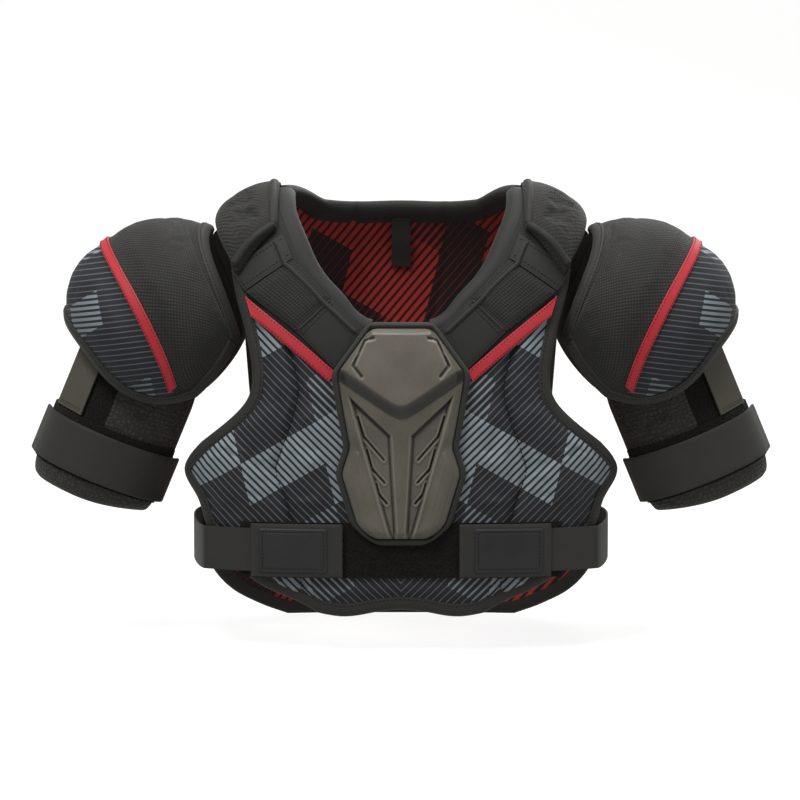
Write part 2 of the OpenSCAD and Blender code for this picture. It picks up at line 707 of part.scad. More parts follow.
// Shoulder cap: a dome about the shoulder, with angles round the arm (u) and along it (v)
cap_lift = 38;
cap_up = [cos(cap_lift), 0, sin(cap_lift)];
cap_down = [sin(cap_lift), 0, -cos(cap_lift)];
cap_wrap = 128;
cap_cols = 20;
cap_rows = 9;
cap_rim_line = [[0, 36], [50, 42], [80, 48], [100, 47], [118, 38], [cap_wrap, 24]];
function cap_low(u) = -74 + 57 * pow(abs(u) / cap_wrap, 2);
function cap_rim(u) = curve(cap_rim_line, abs(u));
function cap_point(u, v, off) =
    [cap_x, 0, cap_z]
    + (cap_r + off) * cos(v) * cos(u) * cap_up
    + ((v < 0 ? cap_crown : cap_r) + off) * sin(v) * cap_down
    - (cap_half_d + off) * pow(cos(v), v < 0 ? 1 : 0.7) * sin(u) * [0, 1, 0];
function cap_u(c) = mix(-cap_wrap, cap_wrap, c / cap_cols);
function cap_v(r, c) = mix(cap_low(cap_u(c)), cap_rim(cap_u(c)), r / cap_rows);
function cap_grid(off, edge_off) =
    [for (r = [0:cap_rows]) [for (c = [0:cap_cols])
        let (edge = r == 0 || r == cap_rows || c == 0 || c == cap_cols)
        cap_point(cap_u(c), cap_v(r, c), edge ? edge_off : off)]];
cap_edge_off = -cap_t * (1 - edge_share) / 2;
cup_out = -cap_t - 1.2;
cap_outer = cap_grid(0, cap_edge_off);
cap_inner = cap_grid(-cap_t, -cap_t - cap_edge_off);

module left_cap_shell() color(charcoal) grid_sheet(cap_outer, cap_inner);
module right_cap_shell() mirror([1, 0, 0]) left_cap_shell();

module left_cap_cup() {
    function points(off) =
        [for (i = [0:5]) [for (j = [0:12])
            let (
                u = mix(-0.86, 0.86, j / 12) * cap_wrap,
                v = mix(mix(cap_low(u), cap_rim(u), 0.1), mix(cap_low(u), cap_rim(u), 0.9), i / 5)
            )
            cap_point(u, v, off)]];
    color(deep_black) grid_sheet(points(cup_out), points(cup_out - cup_t));
}
module right_cap_cup() mirror([1, 0, 0]) left_cap_cup();

function trim_v(u) = -10 + 0.0028 * u * u;
module left_cap_trim() {
    half_a = 90 * trim_w / (PI * cap_r);
    function points(off) =
        [for (s = [-1, 1]) [for (c = [0:24])
            let (u = mix(-112, 112, c / 24))
            cap_point(u, trim_v(u) + s * half_a, off)]];
    color(red) grid_sheet(points(1.5 * fit + ply_t), points(1.5 * fit));
}
module right_cap_trim() mirror([1, 0, 0]) left_cap_trim();

module left_cap_binding() {
    path = concat(
        [for (c = [0:cap_cols - 1]) [0, c]],
        [for (r = [0:cap_rows - 1]) [r, cap_cols]],
        [for (c = [cap_cols:-1:1]) [cap_rows, c]],
        [for (r = [cap_rows:-1:1]) [r, 0]]);
    color(black) tube(edge_rings(
        [for (p = path) cap_outer[p[0]][p[1]]],
        [for (p = path) cap_inner[p[0]][p[1]]],
        binding_w, true), true);
}
module right_cap_binding() mirror([1, 0, 0]) left_cap_binding();

// Bicep guard: angles round the arm from the outside (0) by the front (90) to the body (180)
arm_along = [sin(arm_tilt), 0, -cos(arm_tilt)];
arm_out = [cos(arm_tilt), 0, sin(arm_tilt)];
guard_from = -150;
guard_to = 166;
strap_mid = guard_top + 0.69 * (guard_hem - guard_top);
loop_r = guard_r + fit;
bicep_r = loop_r + ply_t + fit;
function arm_point(a, along, r) =
    [arm_x, 0, arm_z] + along * arm_along + r * (cos(a) * arm_out - sin(a) * [0, 1, 0]);
function hem_at(a) = guard_hem - 6 * soft_step((abs(a) - 80) / 80);
function arm_grid(from_a, to_a, cols, lows, highs, rows, radius) =
    [for (i = [0:rows]) [for (c = [0:cols])
        let (a = mix(from_a, to_a, c / cols))
        arm_point(a, mix(lows(a), highs(a), i / rows), radius(i / rows))]];
function same(v) = function (a) v;
function guard_taper(v) = -5 * pow(max(0, (v - 0.85) / 0.15), 2) - 3 * pow(max(0, (0.2 - v) / 0.2), 2);
function guard_radius(r) = function (v) r + guard_taper(v);
hem_line = function (a) hem_at(a);

module left_bicep_guard() {
    outer = arm_grid(guard_from, guard_to, 18, same(guard_top), hem_line, 7, guard_radius(guard_r));
    inner = arm_grid(guard_from, guard_to, 18, same(guard_top), hem_line, 7, guard_radius(guard_r - guard_t));
    color(charcoal) grid_sheet(outer, inner);
}
module right_bicep_guard() mirror([1, 0, 0]) left_bicep_guard();

module arm_band(from_a, to_a, cols, low, high, r, t) {
    outer = arm_grid(from_a, to_a, cols, same(low), same(high), 1, same(r + t));
    inner = arm_grid(from_a, to_a, cols, same(low), same(high), 1, same(r));
    grid_sheet(outer, inner);
}
strap_low = strap_mid - bicep_w / 2;
strap_high = strap_mid + bicep_w / 2;
module left_bicep_loop()
    color(deep_black) arm_band(-24, 160, 16, strap_low - 7, strap_high + 2, loop_r, ply_t);
module right_bicep_loop() mirror([1, 0, 0]) left_bicep_loop();

// The hook band is hinged on the elastic at the inner side of the arm
strap_hinge_a = 172;
module left_bicep_strap()
    color(black) arm_band(-2, strap_hinge_a, 18, strap_low, strap_high, bicep_r, bicep_t);
module right_bicep_strap() mirror([1, 0, 0]) left_bicep_strap();
module left_bicep_elastic() {
    r = guard_r - guard_t / 2;
    color(black) arm_band(guard_to + 1, guard_from + 359, 5, strap_low + 4, strap_high - 4, r, bicep_t);
}
module right_bicep_elastic() mirror([1, 0, 0]) left_bicep_elastic();

// Link strap: sewn to the guard and up to the inside of the cup
link_a = 48;
link_u = 40;
link_v = 24;
module left_link_strap() {
    half_a = 90 * link_w / (PI * guard_r);
    across = [-1, 0, 1];
    function rows(lift) = concat(
        [for (along = [strap_low - 8, mix(strap_low - 8, guard_top + 8, 0.5), guard_top + 8])
            [for (s = across) arm_point(link_a + s * half_a, along, loop_r + lift)]],
        [[for (s = across)
            cap_point(link_u + 0.8 * s * half_a, link_v, cup_out - cup_t - 5 * fit - ply_t + lift)]]);
    color(deep_black) grid_sheet(rows(0), rows(ply_t));
}
module right_link_strap() mirror([1, 0, 0]) left_link_strap();

back_panel();
back_binding();
back_collar();
spine_pad();
locker_loop();
left_rear_shoulder_pad();
right_rear_shoulder_pad();
left_cap_strap();
right_cap_strap();
left_belly_anchor();
right_belly_anchor();
chest_panel();
chest_binding();
left_front_collar();
right_front_collar();
sternum_backing();
sternum_plate();
loop_strip();
left_yoke_webbing();
right_yoke_webbing();
left_yoke_mesh();
right_yoke_mesh();
left_yoke_tab();
right_yoke_tab();
left_chest_trim();
right_chest_trim();
left_collarbone_pad();
right_collarbone_pad();
left_belly_strap();
right_belly_strap();
left_belly_tab();
right_belly_tab();
left_belly_patch();
right_belly_patch();
left_cap_shell();
right_cap_shell();
left_cap_cup();
right_cap_cup();
left_cap_trim();
right_cap_trim();
left_cap_binding();
right_cap_binding();
left_bicep_guard();
right_bicep_guard();
left_bicep_loop();
right_bicep_loop();
left_link_strap();
right_link_strap();
left_bicep_elastic();
right_bicep_elastic();
left_bicep_strap();
right_bicep_strap();
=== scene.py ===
import math

import bmesh
import bpy
import numpy as np
from mathutils import Matrix, Vector


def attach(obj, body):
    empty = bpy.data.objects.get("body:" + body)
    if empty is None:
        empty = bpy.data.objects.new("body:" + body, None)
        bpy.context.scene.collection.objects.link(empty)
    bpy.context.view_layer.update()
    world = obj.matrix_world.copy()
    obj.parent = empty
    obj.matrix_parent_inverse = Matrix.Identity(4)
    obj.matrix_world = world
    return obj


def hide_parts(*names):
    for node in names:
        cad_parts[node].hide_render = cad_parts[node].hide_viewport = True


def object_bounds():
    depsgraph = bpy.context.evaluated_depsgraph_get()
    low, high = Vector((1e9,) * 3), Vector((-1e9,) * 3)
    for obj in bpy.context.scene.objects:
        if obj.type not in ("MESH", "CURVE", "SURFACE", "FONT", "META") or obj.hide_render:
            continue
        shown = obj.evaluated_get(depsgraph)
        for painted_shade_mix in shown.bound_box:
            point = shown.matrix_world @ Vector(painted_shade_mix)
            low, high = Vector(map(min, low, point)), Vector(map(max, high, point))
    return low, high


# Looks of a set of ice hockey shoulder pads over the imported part. Forms are worked out in
# millimetres, as the part's own are, and turned to metres where a mesh is made.
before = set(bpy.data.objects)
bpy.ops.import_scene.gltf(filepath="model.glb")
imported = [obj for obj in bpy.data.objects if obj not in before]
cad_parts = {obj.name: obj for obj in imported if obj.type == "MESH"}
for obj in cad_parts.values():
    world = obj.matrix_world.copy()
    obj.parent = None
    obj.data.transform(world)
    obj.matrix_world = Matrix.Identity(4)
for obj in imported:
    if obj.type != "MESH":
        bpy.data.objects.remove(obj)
cad_box = [list(painted_shade_mix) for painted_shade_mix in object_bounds()]
scene = bpy.context.scene
MM = 0.001
FRONT = -1
BACK = 1

# Body form
TORSO_HALF_W = 200
TORSO_HALF_D = 105
SPRING_Z = -190
SHOULDER_RISE = 208
SHOULDER_DROP = 15
NAPE_RISE = 16
NECK_CREST = 10
NECK_CREST_W = 36
NECK_HALF_W = 107
YOKE_HALF_W = 150
ARMHOLE_HALF_W = 127
WING_HALF_W = 187
HEM_HALF_W = 72
NECK_Z = -95
WING_Z = -214
HEM_Z = -337
BACK_HEM_Z = -366
BACK_HALF_W = 178
PLAN_POWER = 3
ARCH_POWER = 2.2
NAPE_POWER = 3.2
TOP_LEVEL = 89.6
NAPE_LEVEL = 61

# Layers over the body form
PANEL_T = 12
EDGE_T = 7.8
PLY_IN = 12.4
PLY_OUT = 14.0
OVER_PLY = 14.4
BACKING_OUT = 19.4
PLATE_IN = 19.8
BELLY_OUT = 16.4
TAB_IN = 16.8
TAB_OUT = 19.0
PATCH_IN = 19.4

# Shares of a blank's thickness: a point under the first is on its lining, one over the second on its face
LINING = 0.01
FACE = 0.99


def mix(a, b, f):
    return a + (b - a) * f


def soft_step(v):
    c = np.clip(v, 0, 1)
    return c * c * (3 - 2 * c)


def unit(v):
    return v / np.maximum(np.linalg.norm(v, axis=-1, keepdims=True), 1e-12)


def bell(v):
    return np.exp(-v * v)


def rim_gap(u, v, wide, tall):
    """Distance in mm from the nearest edge of a blank that is wide by tall mm."""
    return np.minimum(np.minimum(u, 1 - u) * wide, np.minimum(v, 1 - v) * tall)


def rounded(gap, radius):
    """Share of its full height that a rounded edge has at a gap in from it."""
    return np.sqrt(1 - (1 - np.clip(gap / radius, 0, 1)) ** 2)


def between(corners, u, v):
    """Points between four corners, which are given round the patch from the lower inner one."""
    low, high = mix(corners[0], corners[1], u[..., None]), mix(corners[3], corners[2], u[..., None])
    return mix(low, high, v[..., None])


def round_blank(long, short):
    """Places round the border of a blank, from steps along its longer and its shorter sides."""
    return (np.concatenate([long, 0 * short + 1, 1 - long, 0 * short]),
            np.concatenate([0 * long, short, 0 * long + 1, 1 - short]))


def laid(rows, share):
    """Points at a share of the way through rows of points, from the first row to the last."""
    stack = np.stack(rows)
    at = share * (len(rows) - 1)
    k = np.clip(at.astype(int), 0, len(rows) - 2)
    i = np.arange(len(at))
    return mix(stack[k, i], stack[k + 1, i], (at - k)[..., None])


def curve(pairs, t):
    """Smooth curve through pairs of position and value."""
    at = np.array(pairs, float)
    t = np.clip(t, at[0, 0], at[-1, 0])
    i = np.clip(np.searchsorted(at[:, 0], t, side="right") - 1, 0, len(at) - 2)
    before, after = at[np.maximum(i - 1, 0)], at[np.minimum(i + 2, len(at) - 1)]
    a, b = at[i], at[i + 1]
    span = b[..., 0] - a[..., 0]
    f = (t - a[..., 0]) / span
    slope_a = (b[..., 1] - before[..., 1]) / (b[..., 0] - before[..., 0]) * span
    slope_b = (after[..., 1] - a[..., 1]) / (after[..., 0] - a[..., 0]) * span
    return (a[..., 1] * (2 * f**3 - 3 * f**2 + 1) + b[..., 1] * (3 * f**2 - 2 * f**3)
            + slope_a * (f**3 - 2 * f**2 + f) + slope_b * (f**3 - f**2))


def plan_depth(x):
    """Depth of the body form at a place across it."""
    return TORSO_HALF_D * np.maximum(0, 1 - (np.abs(x) / TORSO_HALF_W) ** PLAN_POWER) ** (1 / PLAN_POWER)


def rise(x):
    """Height of the shoulder line over the spring line, with a crest at the corners of the neck."""
    fall = np.maximum(0, np.abs(x) - NECK_HALF_W) / (YOKE_HALF_W - NECK_HALF_W)
    crest = np.maximum(0, 1 - ((np.abs(x) - NECK_HALF_W) / NECK_CREST_W) ** 2) ** 2
    return SHOULDER_RISE + NECK_CREST * crest - SHOULDER_DROP * fall**2


def form(x, level, side):
    """A point of the body form. A level up to 0 is mm under the spring line, above it degrees."""
    x, level = np.broadcast_arrays(np.asarray(x, float), np.asarray(level, float))
    share = np.clip(np.abs(x) / NECK_HALF_W, 0, 1) ** 2
    lift, power = rise(x), ARCH_POWER
    if side == BACK:
        lift, power = lift + NAPE_RISE * (1 - share), mix(NAPE_POWER, ARCH_POWER, share)
    a = np.radians(np.clip(level, 0, 90))
    y = side * plan_depth(x) * np.abs(np.cos(a)) ** (2 / power)
    z = SPRING_Z + np.where(level <= 0, level, lift * np.sin(a) ** (2 / power))
    return np.stack([x, y, z], -1)


def outward(x, level, side):
    """Direction straight out of the body form."""
    e = 0.4
    across = form(x + e, level, side) - form(x - e, level, side)
    up = form(x, np.minimum(level + e, 90), side) - form(x, level - e, side)
    return -side * unit(np.cross(across, up))


def skin(x, level, side, off):
    """A point that stands off the body form."""
    x, level, off = np.broadcast_arrays(*(np.asarray(a, float) for a in (x, level, off)))
    return form(x, level, side) + off[..., None] * outward(x, level, side)


def height_at(level):
    """Height of a level at the neck's middle."""
    a = np.radians(np.clip(level, 0, 90))
    return SPRING_Z + np.where(level <= 0, level, SHOULDER_RISE * np.sin(a) ** (2 / ARCH_POWER))


def level_at(x, z):
    """Level of a height on the front."""
    share = np.clip((z - SPRING_Z) / rise(x), 0, 1)
    return np.where(z <= SPRING_Z, z - SPRING_Z, np.degrees(np.arcsin(share ** (ARCH_POWER / 2))))


def on_chest(x, z, off):
    return skin(x, level_at(x, z), FRONT, off)


# Fabric blanks: flat unit grids with walls, which are then laid on their form

def blank(cols, rows, walls=0):
    """A flat blank: x and y run over its face from 0 to 1, and z from 0 on its back to 1."""
    bm = bmesh.new()
    bm.loops.layers.uv.new("cloth")
    bmesh.ops.create_grid(bm, x_segments=cols, y_segments=rows, size=0.5,
                          matrix=Matrix.Translation((0.5, 0.5, 0)), calc_uvs=True)
    face = bm.faces[:]
    for step in range(walls):
        made = bmesh.ops.extrude_face_region(bm, geom=face)["geom"]
        if step:
            bmesh.ops.delete(bm, geom=face, context="FACES")
        face = [g for g in made if isinstance(g, bmesh.types.BMFace)]
        rim = [g for g in made if isinstance(g, bmesh.types.BMVert)]
        bmesh.ops.translate(bm, verts=rim, vec=(0, 0, 1 / walls))
    return bm


def formed(name, bm, place, *materials, slot_of=None, whole=False, weld=False, caps=False):
    """Lays a blank on its form. The cloth UV map is in metres along the piece, and each point keeps
    its place on the blank in the attribute spot."""
    bm.verts.index_update()
    param = np.array([v.co for v in bm.verts])
    points = place(*param.T) * MM
    steps = np.linspace(0, 1, 65)
    middle, top = np.full(65, 0.5), np.ones(65)
    runs = []
    for line in (place(steps, middle, top), place(middle, steps, top)):
        pieces = np.linalg.norm(np.diff(line, axis=0), axis=1)
        runs.append(np.concatenate([[0], np.cumsum(pieces)]) * MM)
    cloth = np.stack([np.interp(param[:, 0], steps, runs[0]), np.interp(param[:, 1], steps, runs[1])], 1)
    layer = bm.loops.layers.uv["cloth"]
    spot = bm.verts.layers.float_vector.new("spot")
    centres = np.array([param[[v.index for v in face.verts]].mean(0) for face in bm.faces])
    slots = slot_of(*centres.T) if slot_of else np.zeros(len(centres), int)
    for face, slot in zip(bm.faces, slots):
        face.smooth = True
        face.material_index = int(slot)
        for loop in face.loops:
            loop[layer].uv = cloth[loop.vert.index]
    for vert, point in zip(bm.verts, points):
        vert[spot] = vert.co
        vert.co = point
    if caps:
        bmesh.ops.holes_fill(bm, edges=bm.edges, sides=0)
    if whole:
        seam = [f for f in bm.faces if all(abs(v.co.x) < 1e-6 for v in f.verts)]
        bmesh.ops.delete(bm, geom=seam, context="FACES")
        bmesh.ops.mirror(bm, geom=bm.verts[:] + bm.edges[:] + bm.faces[:], axis="X", merge_dist=1e-6)
    if weld:
        bmesh.ops.remove_doubles(bm, verts=bm.verts, dist=1e-6)
    bmesh.ops.recalc_face_normals(bm, faces=bm.faces)
    return finished(name, bm, *materials)


def finished(name, bm, *materials):
    mesh = bpy.data.meshes.new(name)
    bm.to_mesh(mesh)
    bm.free()
    for material in materials:
        mesh.materials.append(material)
    mesh.set_sharp_from_angle(angle=math.radians(50))
    piece = bpy.data.objects.new(name, mesh)
    scene.collection.objects.link(piece)
    return piece


def settle(piece, body, slot, *nodes, fill=None):
    """Gives a piece its body and hides the solids that it stands for. Its finish, the slot, is not used."""
    if nodes:
        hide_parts(*nodes)
    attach(piece, body)
    return piece


def pair(piece, body, slot, *nodes, fill=None):
    """Settles a left piece and its mirror image on the right."""
    twin = piece.copy()
    twin.data = piece.data.copy()
    twin.data.transform(Matrix.Scale(-1, 4, (1, 0, 0)))
    twin.data.flip_normals()
    scene.collection.objects.link(twin)
    name = piece.name
    for side, one in (("left", piece), ("right", twin)):
        one.name = side + "_" + name
        one.data.name = one.name
        settle(one, body.format(side), slot, *[node.format(side) for node in nodes], fill=fill)


def spots(piece):
    """Where each point of a piece was on its blank."""
    found = np.empty(len(piece.data.vertices) * 3, np.float32)
    piece.data.attributes["spot"].data.foreach_get("vector", found)
    return found.reshape(-1, 3)


def plump(piece, free_at, limit, slack=0.03, pressure=4.0):
    """Swells a padded cover by cloth simulation, at most limit mm. free_at gives, for a place on its
    blank, the share that may move: seams and the inner face are held."""
    free = free_at(*spots(piece).T.astype(float))
    held = piece.vertex_groups.new(name="held")
    for index, share in enumerate(free):
        held.add([index], 1 - share, "REPLACE")
    cloth = piece.modifiers.new("plump", "CLOTH")
    cloth.settings.quality = 4
    cloth.settings.mass = 0.3
    cloth.settings.tension_stiffness = 12
    cloth.settings.compression_stiffness = 12
    cloth.settings.shear_stiffness = 4
    cloth.settings.bending_stiffness = 0.3
    cloth.settings.use_pressure = True
    cloth.settings.uniform_pressure_force = pressure
    cloth.settings.shrink_min = -slack
    cloth.settings.vertex_group_mass = "held"
    cloth.settings.effector_weights.gravity = 0
    cloth.collision_settings.use_collision = False
    cloth.collision_settings.use_self_collision = False
    for step in range(1, 21):
        scene.frame_set(step)
    rest, blown = np.empty(len(free) * 3), np.empty(len(free) * 3)
    piece.data.vertices.foreach_get("co", rest)
    view = bpy.context.evaluated_depsgraph_get()
    piece.evaluated_get(view).data.vertices.foreach_get("co", blown)
    move = (blown - rest).reshape(-1, 3)
    size = np.linalg.norm(move, axis=1, keepdims=True)
    move *= np.minimum(1, limit * MM / np.maximum(size, 1e-9)) * free[:, None]
    piece.modifiers.remove(cloth)
    piece.vertex_groups.clear()
    piece.data.vertices.foreach_set("co", (rest.reshape(-1, 3) + move).ravel())
    piece.data.update()
    scene.frame_set(1)


def edge_frame(outer, inner, hoop):
    """For an edge given as outer and inner points: the direction out of it and over its thickness."""
    if hoop:
        along = np.roll(outer, -1, 0) - np.roll(outer, 1, 0)
    else:
        along = np.gradient(outer, axis=0)
    return unit(np.cross(along, outer - inner)), unit(outer - inner)


def tape(name, outer, inner, profile, material, hoop=False):
    """A tape folded over an edge. Its profile gives reach out of the edge, share of the thickness
    and stand off it."""
    out, over = edge_frame(outer, inner, hoop)
    profile = np.array(profile + profile[:1], float)
    path = np.arange(len(outer) + 1) % len(outer) if hoop else np.arange(len(outer))
    last = len(path) - 1

    def place(u, v, w):
        at = u * (len(profile) - 1)
        reach, share, stand = (np.interp(at, np.arange(len(profile)), profile[:, k]) for k in range(3))
        i = path[np.clip(np.rint(v * last).astype(int), 0, last)]
        base = inner[i] + share[..., None] * (outer[i] - inner[i])
        return base + reach[..., None] * out[i] + stand[..., None] * over[i]

    return formed(name, blank(len(profile) - 1, last), place, material, weld=True, caps=not hoop)


def roll(name, line, normals, radius, material):
    """A round sewn roll or piping along a line, flattened a little on what it lies on."""
    along = unit(np.gradient(line, axis=0))
    across = unit(np.cross(along, normals))
    up = np.cross(across, along)
    last = len(line) - 1

    def place(u, v, w):
        i = np.clip(np.rint(v * last).astype(int), 0, last)
        a = 2 * math.pi * u
        ends = np.sqrt(np.clip(np.minimum(i, last - i) / 3, 0.1, 1))
        return (line[i] + (radius * ends * np.cos(a))[..., None] * across[i]
                + (0.85 * radius * ends * np.sin(a))[..., None] * up[i])

    return formed(name, blank(12, last), place, material, weld=True, caps=True)


def edge_row(outer, inner, reach, stand, hoop=False):
    """A line on the face beside an edge, with its normals."""
    out, over = edge_frame(outer, inner, hoop)
    line = outer + reach * out + stand * over
    if hoop:
        line, over = np.concatenate([line, line[:1]]), np.concatenate([over, over[:1]])
    return line, over


def face_line(place, us, vs):
    """A line along a piece's face, with its normals."""
    top = place(us, vs, np.ones(len(us)))
    return top, unit(top - place(us, vs, np.zeros(len(us))))


def stitches(name, place, us, vs, material, *sizes):
    """A row of stitches along a line of a piece's face."""
    return thread_row(name, *face_line(place, us, vs), material, *sizes)


def thread_row(name, line, normals, material, pitch=3.6, length=2.6, width=1.1, lift=0.1):
    """A row of stitches along a line, each a small flattened bead of thread."""
    run = np.concatenate([[0], np.cumsum(np.linalg.norm(np.diff(line, axis=0), axis=1))])
    bm = bmesh.new()
    bm.loops.layers.uv.new("cloth")
    for at in np.arange(pitch / 2, run[-1], pitch):
        middle, ahead, back, normal = (
            np.array([np.interp(x, run, data[:, k]) for k in range(3)])
            for x, data in ((at, line), (min(at + 0.5, run[-1]), line), (max(at - 0.5, 0), line),
                            (at, normals)))
        along = Vector(ahead - back).normalized()
        up = Vector(normal)
        up = (up - up.dot(along) * along).normalized()
        turn = Matrix((along, up.cross(along), up)).transposed().to_4x4()
        turn.translation = Vector(middle + lift * np.array(up)) * MM
        size = Matrix.Diagonal((length * MM, width * MM, 0.7 * width * MM, 1))
        bmesh.ops.create_uvsphere(bm, u_segments=6, v_segments=4, radius=0.5, matrix=turn @ size)
    for face in bm.faces:
        face.smooth = True
    return finished(name, bm, material)


# Materials

def srgb(text):
    """A hex colour as linear values."""
    shares = [int(text[i:i + 2], 16) / 255 for i in (1, 3, 5)]
    return [s / 12.92 if s <= 0.04045 else ((s + 0.055) / 1.055) ** 2.4 for s in shares] + [1]


def add(tree, kind, inputs=None, **settings):
    """Adds a node with its settings. An input is a value or the socket that feeds it."""
    node = tree.nodes.new("ShaderNode" + kind)
    for key, value in settings.items():
        setattr(node, key, value)
    for key, value in (inputs or {}).items():
        if isinstance(value, bpy.types.NodeSocket):
            tree.links.new(value, node.inputs[key])
        else:
            node.inputs[key].default_value = value
    return node


def surface(name, **sockets):
    """A new material with constant values on its shader's own sockets."""
    material = bpy.data.materials.new(name)
    material.use_nodes = True
    shader = material.node_tree.nodes["Principled BSDF"]
    for key, value in sockets.items():
        shader.inputs[key.replace("_", " ")].default_value = value
    return material, material.node_tree, shader


def wave_scale(pitch):
    """Scale of a wave texture whose bands repeat at a pitch in mm."""
    return math.pi / 10 / (pitch * MM)


def woven(tree, cloth, warp, weft, distortion):
    """Height of threads that cross on a cloth, from the pitch of its warp and weft in mm."""
    ways = [add(tree, "TexWave", {"Vector": cloth, "Scale": wave_scale(pitch), "Distortion": distortion},
                bands_direction=way).outputs["Fac"] for way, pitch in (("X", warp), ("Y", weft))]
    return add(tree, "Math", {0: ways[0], 1: ways[1]}, operation="MULTIPLY").outputs[0]


def dressed(material, shader, tone, low, high, height, strength, depth):
    """Gives a material its colour, mixed from two by a tone, and its relief as a bump of a depth in mm."""
    tree = material.node_tree
    colour = add(tree, "Mix", {0: tone, 6: low, 7: high}, data_type="RGBA").outputs[2]
    tree.links.new(colour, shader.inputs["Base Color"])
    bump = add(tree, "Bump", {"Height": height, "Strength": strength, "Distance": depth * MM})
    tree.links.new(bump.outputs["Normal"], shader.inputs["Normal"])
    return material


def knit(name, dark, light, pitch, depth, turn=45):
    """Warp-knit polyester over foam: slanting rows of small loops, matt, with a soft sheen at
    grazing light. The rows are at a pitch in mm, coarse enough to show from a step away."""
    material, tree, shader = surface(name, Roughness=0.78, Sheen_Weight=0.16, Sheen_Roughness=0.45)
    cloth = add(tree, "UVMap", uv_map="cloth").outputs["UV"]
    slant = (0, 0, math.radians(turn))
    turned = add(tree, "Mapping", {"Vector": cloth, "Rotation": slant}).outputs["Vector"]
    rows = add(tree, "TexWave", {"Vector": turned, "Scale": wave_scale(pitch), "Distortion": 0.6,
                                 "Detail": 1.0}, bands_direction="X").outputs["Fac"]
    loops = add(tree, "TexWave", {"Vector": turned, "Scale": wave_scale(pitch * 0.8), "Distortion": 0.4,
                                  "Detail": 1.0}, bands_direction="Y").outputs["Fac"]
    height = add(tree, "Math", {0: rows, 1: loops, 2: 0.15}, operation="MULTIPLY_ADD").outputs[0]
    wear = add(tree, "TexNoise", {"Vector": cloth, "Scale": 38.0, "Detail": 3.0}).outputs["Fac"]
    tone = add(tree, "Math", {0: height, 1: wear}, operation="MULTIPLY").outputs[0]
    return dressed(material, shader, tone, srgb(dark), srgb(light), height, 0.6, depth)


def smooth_cloth(name, dark, light, roughness=0.7, grain=0.9, depth=0.12):
    """Close-woven nylon or neoprene facing: nearly smooth, with a grain that just shows."""
    material, tree, shader = surface(name, Roughness=roughness, Sheen_Weight=0.12, Sheen_Roughness=0.5)
    cloth = add(tree, "UVMap", uv_map="cloth").outputs["UV"]
    weave = woven(tree, cloth, grain, grain, 0.8)
    cloud = add(tree, "TexNoise", {"Vector": cloth, "Scale": 55.0, "Detail": 4.0}).outputs["Fac"]
    tone = add(tree, "Math", {0: weave, 1: cloud}, operation="MULTIPLY").outputs[0]
    return dressed(material, shader, tone, srgb(dark), srgb(light), weave, 0.5, depth)


def striped(name, ground, ground_light, fine, bold, slant, pitch, cell, widths, mirrored=True):
    """Sublimation-printed polyester: slanting pinstripes that grow bold in slanting blocks, on a close
    weave. The pitch of the stripes and the size of a block are in mm."""
    material, tree, shader = surface(name, Roughness=0.72, Sheen_Weight=0.06, Sheen_Roughness=0.5)
    spot = add(tree, "TexCoord").outputs["Object"]
    axes = add(tree, "SeparateXYZ", {0: spot}).outputs
    across = add(tree, "Math", {0: axes[0]}, operation="ABSOLUTE").outputs[0] if mirrored else axes[0]
    flat = add(tree, "CombineXYZ", {0: across, 1: axes[2]}).outputs[0]
    a = math.radians(slant)
    run, wide, tall = (
        add(tree, "VectorMath", {0: flat, 1: (x / (size * MM), z / (size * MM), 0)},
            operation="DOT_PRODUCT").outputs["Value"]
        for x, z, size in ((math.cos(a), -math.sin(a), pitch), (0.5, 0.87, cell), (0.95, -0.22, cell)))
    turn = add(tree, "Math", {0: run, 1: 0.5}, operation="PINGPONG").outputs[0]
    phase = add(tree, "Math", {0: turn, 1: 2.0}, operation="MULTIPLY").outputs[0]
    block = add(tree, "CombineXYZ", {0: wide, 1: tall}).outputs[0]
    block = add(tree, "VectorMath", {0: block}, operation="FLOOR").outputs[0]
    choice = add(tree, "TexWhiteNoise", {"Vector": block}, noise_dimensions="2D").outputs["Value"]
    ramp = add(tree, "ValToRGB", {0: choice})
    ramp.color_ramp.interpolation = "CONSTANT"
    while len(ramp.color_ramp.elements) < len(widths):
        ramp.color_ramp.elements.new(0.5)
    for element, (at, width) in zip(ramp.color_ramp.elements, widths):
        element.position = at
        element.color = (width, width, width, 1)
    width = ramp.outputs["Color"]
    gap = add(tree, "Math", {0: width, 1: phase}, operation="SUBTRACT").outputs[0]
    ink = add(tree, "MapRange", {0: gap, 1: -0.06, 2: 0.06}).outputs[0]
    strength = add(tree, "MapRange", {0: width, 1: 0.15, 2: 0.5}).outputs[0]
    cloth = add(tree, "UVMap", uv_map="cloth").outputs["UV"]
    weave = woven(tree, cloth, 1.3, 1.3, 0.7)
    base = add(tree, "Mix", {0: weave, 6: srgb(ground), 7: srgb(ground_light)}, data_type="RGBA").outputs[2]
    line = add(tree, "Mix", {0: strength, 6: srgb(fine), 7: srgb(bold)}, data_type="RGBA").outputs[2]
    return dressed(material, shader, ink, base, line, weave, 0.5, 0.18)


